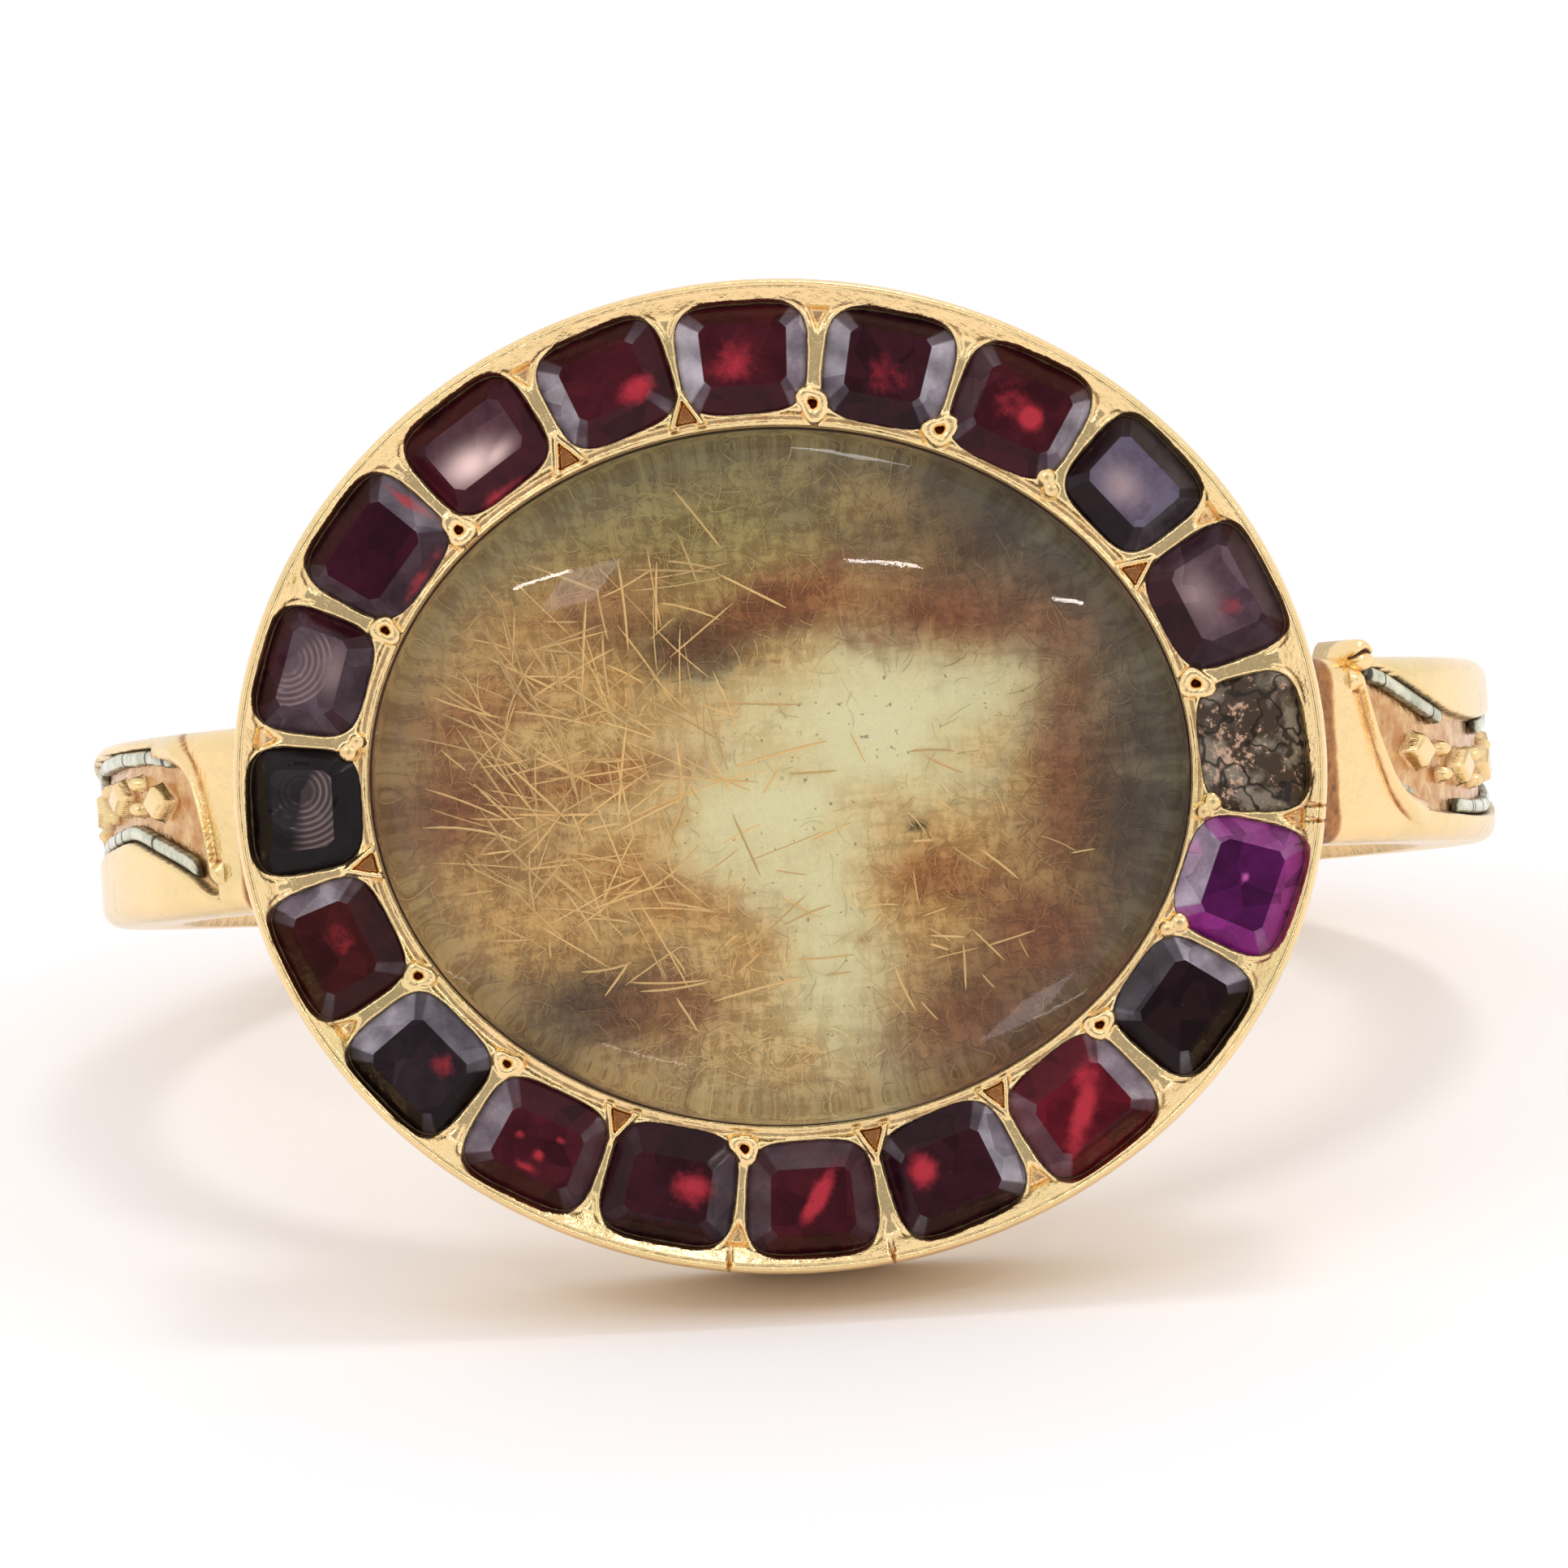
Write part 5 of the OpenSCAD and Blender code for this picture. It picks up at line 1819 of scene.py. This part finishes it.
            # The ribbon's floor is painted coppery, hardly on the ornaments: patina and painted shade.
            hollow = np.where(inside, np.maximum(hollow, sunk * (0.62 - 0.6 * raised)), hollow)
            # Darker along the ribbon's borders, with painted shade on the ornaments' slopes.
            border = self.border_dark[1] * np.exp(-(depth_in / self.border_dark[0]) ** 2)
            darkened = np.maximum(border, 1.7 * sunk * raised * (1 - raised))
            dirt = np.where(inside, np.maximum(dirt, darkened), dirt)
            for near, edge, outwards in ((u, low, -1), (2 - u, high, 1)):
                at = (near >= -0.02) & (near <= self.lip_end + fade)
                shown = np.clip((self.lip_end + fade - near) / fade, 0, 1)
                grown = np.clip(near / self.lip_end, 0, 1)
                thick = self.lip_w * (self.lip_taper + (1 - self.lip_taper) * grown)
                across = (outwards * (heights - edge) + third) / (thick + third)
                bulge = np.clip(1 - (2 * across - 1) ** 2, 0, 1) * shown * at
                off = np.where(bulge > 0, np.maximum(off, 0) * (1 - bulge) + self.lip_h * bulge, off)
                hollow, dirt = hollow * (1 - np.sqrt(bulge)), dirt * (1 - np.sqrt(bulge))
                # A painted shade line runs just outside each lip.
                line = np.exp(-((across - self.lip_line[0]) / self.lip_line[1]) ** 2) * shown * at
                hollow, dirt = np.maximum(hollow, 0.9 * line), np.maximum(dirt, 0.5 * line)
        return off, hollow, dirt

    def _ornament(self, index: int, angles: Array, heights: Array) -> Array:
        """Works out how far lozenges and dots fill a ribbon.

        Args:
            index: the ribbon, counted from 0.
            angles: places round the hoop, in degrees.
            heights: places along the finger.

        Returns:
            0 on the ribbon's floor to 1 at the band's face.
        """
        raised = np.zeros(np.broadcast(angles, heights).shape)
        spacing = (2 - 2 * self.ornament_start) / (self.ornaments - 1)
        for k in range(2 * self.ornaments - 1):
            u = np.array(self.ornament_start + spacing * k / 2)
            x = np.radians(self._off(angles, float(self.angle(index, u)))) * self.band_r
            y = heights - (self._border(u, 1) + self._border(u, 2)) / 2
            if k % 2 == 0:
                form = 1 - np.abs(x) / self.lozenge[0] - np.abs(y) / self.lozenge[1]
                raised = np.maximum(raised, smoothstep(0.5, form * 3.2 - 0.42))
            else:
                for side in (-1, 1):
                    ball = np.hypot(x, y - side * (self.dot_r + self.dot_apart / 2)) / self.dot_r
                    raised = np.maximum(raised, np.sqrt(np.clip(1 - ball ** 2, 0, 1)))
        return raised

    def band(self, ring: RingFrame) -> Piece:
        """Makes the band as a closed grid of angles round the hoop by places round its profile.

        Args:
            ring: the ring's frame.

        Returns:
            The band.
        """
        def step(angle: Array) -> Array:
            """Works out the distance between columns in degrees, close together at the shoulders.

            Args:
                angle: places round the hoop, in degrees.

            Returns:
                The distances.
            """
            away = np.abs((angle + 180) % 360 - 180)
            hidden, lip, seen, back = self.column_step
            shown = np.where((away > self.lip_zone[0]) & (away < self.lip_zone[1]), lip, seen)
            wide = np.where(away < self.seen[0], hidden, np.where(away < self.seen[1], shown, back))
            return np.degrees(wide / self.band_r)

        angles = graded(-180, 180, step)[:-1]
        half, r, bore = self.band_w / 2, self.band_round, self.bore_r
        flat = np.linspace(-(half - r), half - r, self.face_rows)
        bend = np.radians(np.linspace(0, 90, 8)[1:])
        z = np.concatenate([flat, half - r + r * np.sin(bend), [half, half - 0.25],
                            np.linspace(half - 0.3, -half + 0.3, 5), [-half + 0.25, -half],
                            -(half - r) - r * np.sin(bend[::-1])])
        radius = np.concatenate([np.full(len(flat), self.band_r), self.band_r - r + r * np.cos(bend),
                                 [bore + 0.1, bore + 0.02], np.full(5, bore), [bore + 0.02, bore + 0.1],
                                 self.band_r - r + r * np.cos(bend[::-1])])
        off, hollow, dirt = self._relief(angles[None, :], z[:, None])
        # Painted shadow: the hoop is painted coppery and dark where it runs under the head.
        shadow = smoothstep(0.5, self.shadow_end - np.abs(angles))[None, :] * np.ones_like(z)[:, None]
        hollow, dirt = np.maximum(hollow, shadow), np.maximum(dirt, 0.5 * shadow)
        face = (radius > self.band_r - 0.9 * r)[:, None]
        lifted = radius[:, None] + np.where(face, off, 0)
        places = np.broadcast_to(angles, lifted.shape)
        grid = ring.hoop(places, lifted, np.broadcast_to(z[:, None], lifted.shape))
        piece = grid_piece("gold_band", grid, Form.TUBE)
        paint(piece, "recess", np.where(face, hollow, 0.2))
        paint(piece, "dirt", np.where(face, dirt, 0))
        return piece

    def curl(self, ring: RingFrame) -> Piece:
        """Makes the curled lip at the right shoulder: a folded, grooved tongue above the band's upper edge.

        Args:
            ring: the ring's frame.

        Returns:
            The lip.
        """
        share = np.linspace(0.05, 1, 26)[:, None]
        turn = (np.arange(40) * 2 * np.pi / 40)[None, :]
        x = share * self.curl_r * self.curl_long * np.sin(turn) * (1 - 0.2 * np.cos(turn))
        z = self.band_w / 2 + 0.05 * self.curl_r + share * self.curl_r * 1.05 * np.cos(turn)
        fold = share * np.cos(turn) - 0.25 + 0.5 * (share * np.sin(turn)) ** 2
        groove = self.groove_depth * np.exp(-(fold / 0.16) ** 2) * (share < 0.97)
        crown = self.band_r - 0.05 + (self.lip_h + self.curl_lift) * np.sqrt(np.maximum(1 - share ** 4, 0))
        front = crown - groove
        back = np.full_like(front, self.bore_r + self.band_t * 0.45)
        radius = np.concatenate([front, back[::-1]])
        x, z = np.concatenate([x, x[::-1]]), np.concatenate([z, z[::-1]])
        place = float(self.angle(0, np.array(self.curl_place)))
        grid = ring.hoop(place + np.degrees(x / self.band_r), radius, z)
        piece = grid_piece("gold_curl", grid, Form.CAPPED)
        # Painted shade: the fold's groove is painted coppery and dark.
        dark = np.concatenate([groove / self.groove_depth, groove * 0])
        paint(piece, "recess", dark)
        paint(piece, "dirt", 0.75 * dark)
        return piece

    def shoulders(self, ring: RingFrame) -> Piece:
        """Makes the solder fillets between the hoop and the back of the head, as one extruded closed profile.

        Args:
            ring: the ring's frame.

        Returns:
            The fillets.
        """
        reach = PLAN.back_z + 0.05
        lift = self.shoulder_r - reach
        out = math.sqrt((self.band_r - 0.05 + self.shoulder_r) ** 2 - lift ** 2)
        touch = math.degrees(math.atan2(out, -lift))
        inner = np.radians(np.linspace(-touch, touch, 40))
        arc = np.stack([(self.band_r - 0.3) * np.sin(inner), -(self.band_r - 0.3) * np.cos(inner)], -1)
        first = math.atan2(-lift, -out)
        sweep = np.linspace(first if first > 0 else first + 2 * math.pi, 1.5 * math.pi, 14)
        right = np.stack([out + self.shoulder_r * np.cos(sweep), lift + self.shoulder_r * np.sin(sweep)], -1)
        left = right[::-1] * np.array([-1, 1])
        profile = np.concatenate([arc, right, left])
        half = self.band_w / 2 - 0.12
        levels = np.array([-half, -half + 0.03, -half + 0.12, half - 0.12, half - 0.03, half])
        shrink = np.array([0.16, 0.05, 0.0, 0.0, 0.05, 0.16])
        away = profile - np.array([0.0, -(self.band_r - 0.2)])
        away = away / np.linalg.norm(away, axis=-1, keepdims=True)
        flat = profile[None] - shrink[:, None, None] * away[None]
        angle = np.degrees(np.arctan2(flat[..., 0], -flat[..., 1]))
        radius = np.hypot(flat[..., 0], flat[..., 1])
        grid = ring.hoop(angle, radius, np.broadcast_to(levels[:, None], radius.shape))
        piece = grid_piece("gold_shoulders", grid, Form.CAPPED)
        # Painted shade: the fillets under the head are painted evenly coppery and a little dark.
        paint(piece, "recess", np.full(radius.shape, 0.6))
        paint(piece, "dirt", np.full(radius.shape, 0.3))
        return piece

    def enamel(self, index: int, ring: RingFrame) -> Piece:
        """Makes the enamel left in one ribbon: strips with a domed top and ragged ends.

        Args:
            index: the ribbon, counted from 0 at the right.
            ring: the ring's frame.

        Returns:
            The strips as one piece.
        """
        rng = np.random.default_rng(SEED + 80 + index)
        floor = self.band_r - self.depth + self.fit
        vertices, faces, darkened = [], [], []
        count, steps = 0, self.strip_steps
        across, domed = np.array(self.strip_across), np.array(self.strip_dome)
        for upper, stretches in ((True, self.high_stretches), (False, self.low_stretches)):
            for start, end in stretches:
                u = np.linspace(start, end, steps)
                edge = self._border(u, 2) - self.fit if upper else self._border(u, 1) + self.fit
                taper = np.clip(np.minimum(u - start, end - u) / self.strip_end, 0.25, 1) ** 0.5
                ragged = 1 - 0.1 * rng.random(steps)
                wide = (-1 if upper else 1) * self.enamel_w * across[None, :]
                z = edge[:, None] + wide * (taper * ragged)[:, None]
                radius = floor + self.enamel_t * domed[None, :] * taper[:, None]
                angle = np.broadcast_to(self.angle(index, u)[:, None], z.shape)
                vertices.append(ring.hoop(angle, radius, z).reshape(-1, 3))
                quads = grid_faces(steps, len(across), False) + count
                faces.append(quads if upper else quads[:, ::-1])
                cracks = np.zeros(steps)
                cracks[rng.integers(2, steps - 2, self.strip_cracks)] = 1.0
                border = 0.6 * (np.abs(across - 0.5) > 0.44)
                tips = 1 - taper[:, None] ** 2
                darkened.append(np.maximum(cracks[:, None], np.maximum(border[None, :], tips)))
                count += steps * len(across)
        caps = self._caps(steps, len(across), len(faces), len(self.high_stretches))
        name = f"enamel_strips_{index + 1}"
        piece = mesh_piece(name, np.concatenate(vertices), np.concatenate(faces), caps)
        paint(piece, "dirt", np.concatenate([s.ravel() for s in darkened]))
        return piece

    @staticmethod
    def _caps(steps: int, columns: int, strips: int, upper: int) -> Array:
        """Closes both ends of each strip.

        Args:
            steps: points along a strip.
            columns: points round it.
            strips: how many there are.
            upper: how many of them, the first ones, lie along the upper border.

        Returns:
            Three corners for each triangle.
        """
        fan = np.stack([np.zeros(columns - 2, int), np.arange(1, columns - 1), np.arange(2, columns)], -1)
        caps = []
        for k in range(strips):
            first = k * steps * columns
            last = first + (steps - 1) * columns
            ends = (fan + first, fan[:, ::-1] + last)
            caps.extend(ends if k < upper else (ends[0][:, ::-1], ends[1][:, ::-1]))
        return np.concatenate(caps)


@dataclass(frozen=True)
class Lamp:
    """A soft box: its direction from the face in the head's frame, its sides in metres and its looks.

    Its brightness is against white paper.
    """

    name: str
    direction: tuple[float, float, float]
    sides: tuple[float, float]
    brightness: float
    distance: float = 0.4
    colour: Colour = (1.0, 1.0, 1.0)

    def watts(self) -> float:
        """Returns the power of a lamp of that brightness and size."""
        return math.pi * self.sides[0] * self.sides[1] * self.brightness


ROSY = (1.0, 0.90, 0.86)
LAMPS = (
    Lamp("overhead", (0.12, 0.97, 0.10), (0.12, 0.08), 10.0, 0.46),
    Lamp("streak_left", (-0.437, 0.490, 0.753), (0.075, 0.0045), 50.0, colour=ROSY),
    Lamp("streak_middle", (0.130, 0.426, 0.895), (0.045, 0.0040), 50.0, colour=ROSY),
    Lamp("streak_right", (0.564, 0.498, 0.659), (0.085, 0.0045), 56.0, colour=ROSY),
    Lamp("patch", (-0.325, 0.422, 0.846), (0.05, 0.05), 4.5, colour=(1.0, 0.93, 1.0)),
)


@dataclass
class Studio:
    """The pale floor, the soft lights and the camera at the photograph's angle."""

    distance: float = 0.290
    lens: float = 486.0
    up_from_normal: float = -1.25
    right_of_normal: float = 1.0
    picture_roll: float = -0.15
    aim: tuple[float, float] = (0.056, -0.11)
    face_z: float = 12.0
    surroundings: float = 1.0
    dim: float = 0.42
    dim_place: tuple[float, float, float] = (0.0, -0.95, 0.312)
    dim_edge: tuple[float, float] = (0.945, 0.07)

    def floor(self) -> Piece:
        """Makes the floor, a wide disc.

        Returns:
            The floor.
        """
        angles = np.arange(96) * 2 * np.pi / 96
        radius = np.array([0.01, 0.1, 0.5, 2.0, 4.0, 4.0, 2.0])
        level = np.array([0.0, 0.0, 0.0, 0.0, 0.0, -0.02, -0.02])
        grid = np.stack([radius[:, None] * np.cos(angles), radius[:, None] * np.sin(angles),
                         np.broadcast_to(level[:, None], (len(radius), len(angles)))], -1)
        piece = grid_piece("floor", grid, Form.CAPPED)
        r = Recipe.named("pale_floor")
        piece.data.materials.append(r.surface(Base_Color=(0.95, 0.925, 0.925), Roughness=0.75))
        return piece

    def lights(self, ring: RingFrame) -> None:
        """Adds the soft boxes, and pale surroundings that are dim behind and above the camera.

        Args:
            ring: the ring's frame.
        """
        middle = Vector(ring.head(np.array([0.0, 0.0, self.face_z])))
        for lamp in LAMPS:
            away = np.array(lamp.direction) / np.linalg.norm(lamp.direction) * lamp.distance / MM
            place = Vector(ring.head(away + np.array([0.0, 0.0, self.face_z])))
            data = bpy.data.lights.new(lamp.name, "AREA")
            data.shape = "RECTANGLE"
            data.size, data.size_y = lamp.sides
            data.energy = lamp.watts()
            data.color = lamp.colour
            light = bpy.data.objects.new(lamp.name, data)
            light.location = place
            light.rotation_euler = (middle - place).to_track_quat("-Z", "Y").to_euler()
            bpy.context.scene.collection.objects.link(light)
        world = bpy.data.worlds.new("surroundings")
        bpy.context.scene.world = world
        r = Recipe(world)
        direction = r.node("ShaderNodeTexCoord", output="Generated")
        towards = r.node("ShaderNodeVectorMath", {"operation": "DOT_PRODUCT"},
                         {0: direction, 1: self.dim_place}, output="Value")
        level = self.surroundings - towards.above(*self.dim_edge) * (self.surroundings - self.dim)
        r.end(r.node("ShaderNodeBackground", {}, {"Color": (0.99, 0.985, 1.0, 1.0), "Strength": level}),
              "ShaderNodeOutputWorld")

    def camera(self, ring: RingFrame) -> None:
        """Adds the camera, which looks at the face from far away, a little below and right of its normal.

        Args:
            ring: the ring's frame.
        """
        face = self.face_z
        points = ring.head(np.array([[*self.aim, face], [*self.aim, face + 1], [0, 1, face]]))
        middle, out, up = (Vector(c) for c in points)
        centre = Vector(ring.head(np.array([0.0, 0.0, self.face_z])))
        normal, upright = (out - middle).normalized(), (up - centre).normalized()
        right = upright.cross(normal).normalized()
        a, b = math.radians(self.up_from_normal), math.radians(self.right_of_normal)
        back = (normal + upright * math.tan(a) + right * math.tan(b)).normalized()
        side = Matrix.Rotation(math.radians(self.picture_roll), 3, back) @ upright.cross(back).normalized()
        data = bpy.data.cameras.new("camera")
        data.lens = self.lens
        data.clip_start, data.clip_end = 0.01, 20.0
        camera = bpy.data.objects.new("camera", data)
        turn = Matrix((side, back.cross(side), back)).transposed().to_4x4()
        camera.matrix_world = Matrix.Translation(middle + back * self.distance) @ turn
        bpy.context.scene.collection.objects.link(camera)
        bpy.context.scene.camera = camera


def attach(piece: Piece, material: Finish, slot: str, *nodes: str) -> None:
    """Gives a piece its finish, lets it ride on the ring and stand for CAD nodes.

    Args:
        piece: the new piece.
        material: its finish.
        slot: the record's material slot; not used.
        nodes: the CAD nodes that it replaces.
    """
    piece.data.materials.append(material)
    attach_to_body(piece, BODY)
    if nodes:
        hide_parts(*nodes)
    log.info("%s: %d faces", piece.name, len(piece.data.polygons))


def main() -> None:
    """Builds the ring's pieces in order."""
    logging.basicConfig(level=logging.INFO, format="%(message)s")
    ring = RingFrame.from_record(frame["record"])
    studio = Studio()
    studio.camera(ring)
    studio.lights(ring)
    studio.floor()
    seats = tuple(Seat.of(k) for k in range(len(STONES)))
    gold = OldGold().material()
    hoop = Hoop()
    for piece in (Head(seats).build(ring), hoop.band(ring), hoop.curl(ring), hoop.shoulders(ring)):
        attach(piece, gold, "gold", "gold_ring")
    cuts = {Cut.GARNET: (FoiledStone("garnet_glass", (0.50, 0.035, 0.055)).material(), "garnet"),
            Cut.PASTE: (FoiledStone("clear_paste", (0.62, 0.40, 0.28), crinkle=0.85).material(), "paste"),
            Cut.PURPLE: (FoiledStone("purple_glass", (0.62, 0.13, 0.45)).material(), "purple_stone")}
    for k, piece in enumerate(Row(seats).build(ring)):
        attach(piece, *cuts[STONES[k].cut], f"stone_{k + 1:02d}")
    attach(Dome().build(ring), ClearCrystal().material(), "crystal", "crystal")
    picture = HairPicture()
    attach(picture.ground(ring), Painted("cream_ground", specks=0.6).material(), "ground", "hair_ground")
    hair = Painted("cut_hair", 60.0, 0.002, 0.45).material()
    attach(picture.fuzz(ring), hair, "hair")
    attach(picture.straw(ring), hair, "hair")
    enamel = Enamel().material()
    for k, node in enumerate(("enamel_right", "enamel_back", "enamel_left")):
        attach(hoop.enamel(k, ring), enamel, "enamel", node)


if __name__ == "__main__":
    main()
    bpy.context.scene.view_settings.view_transform = "Standard"
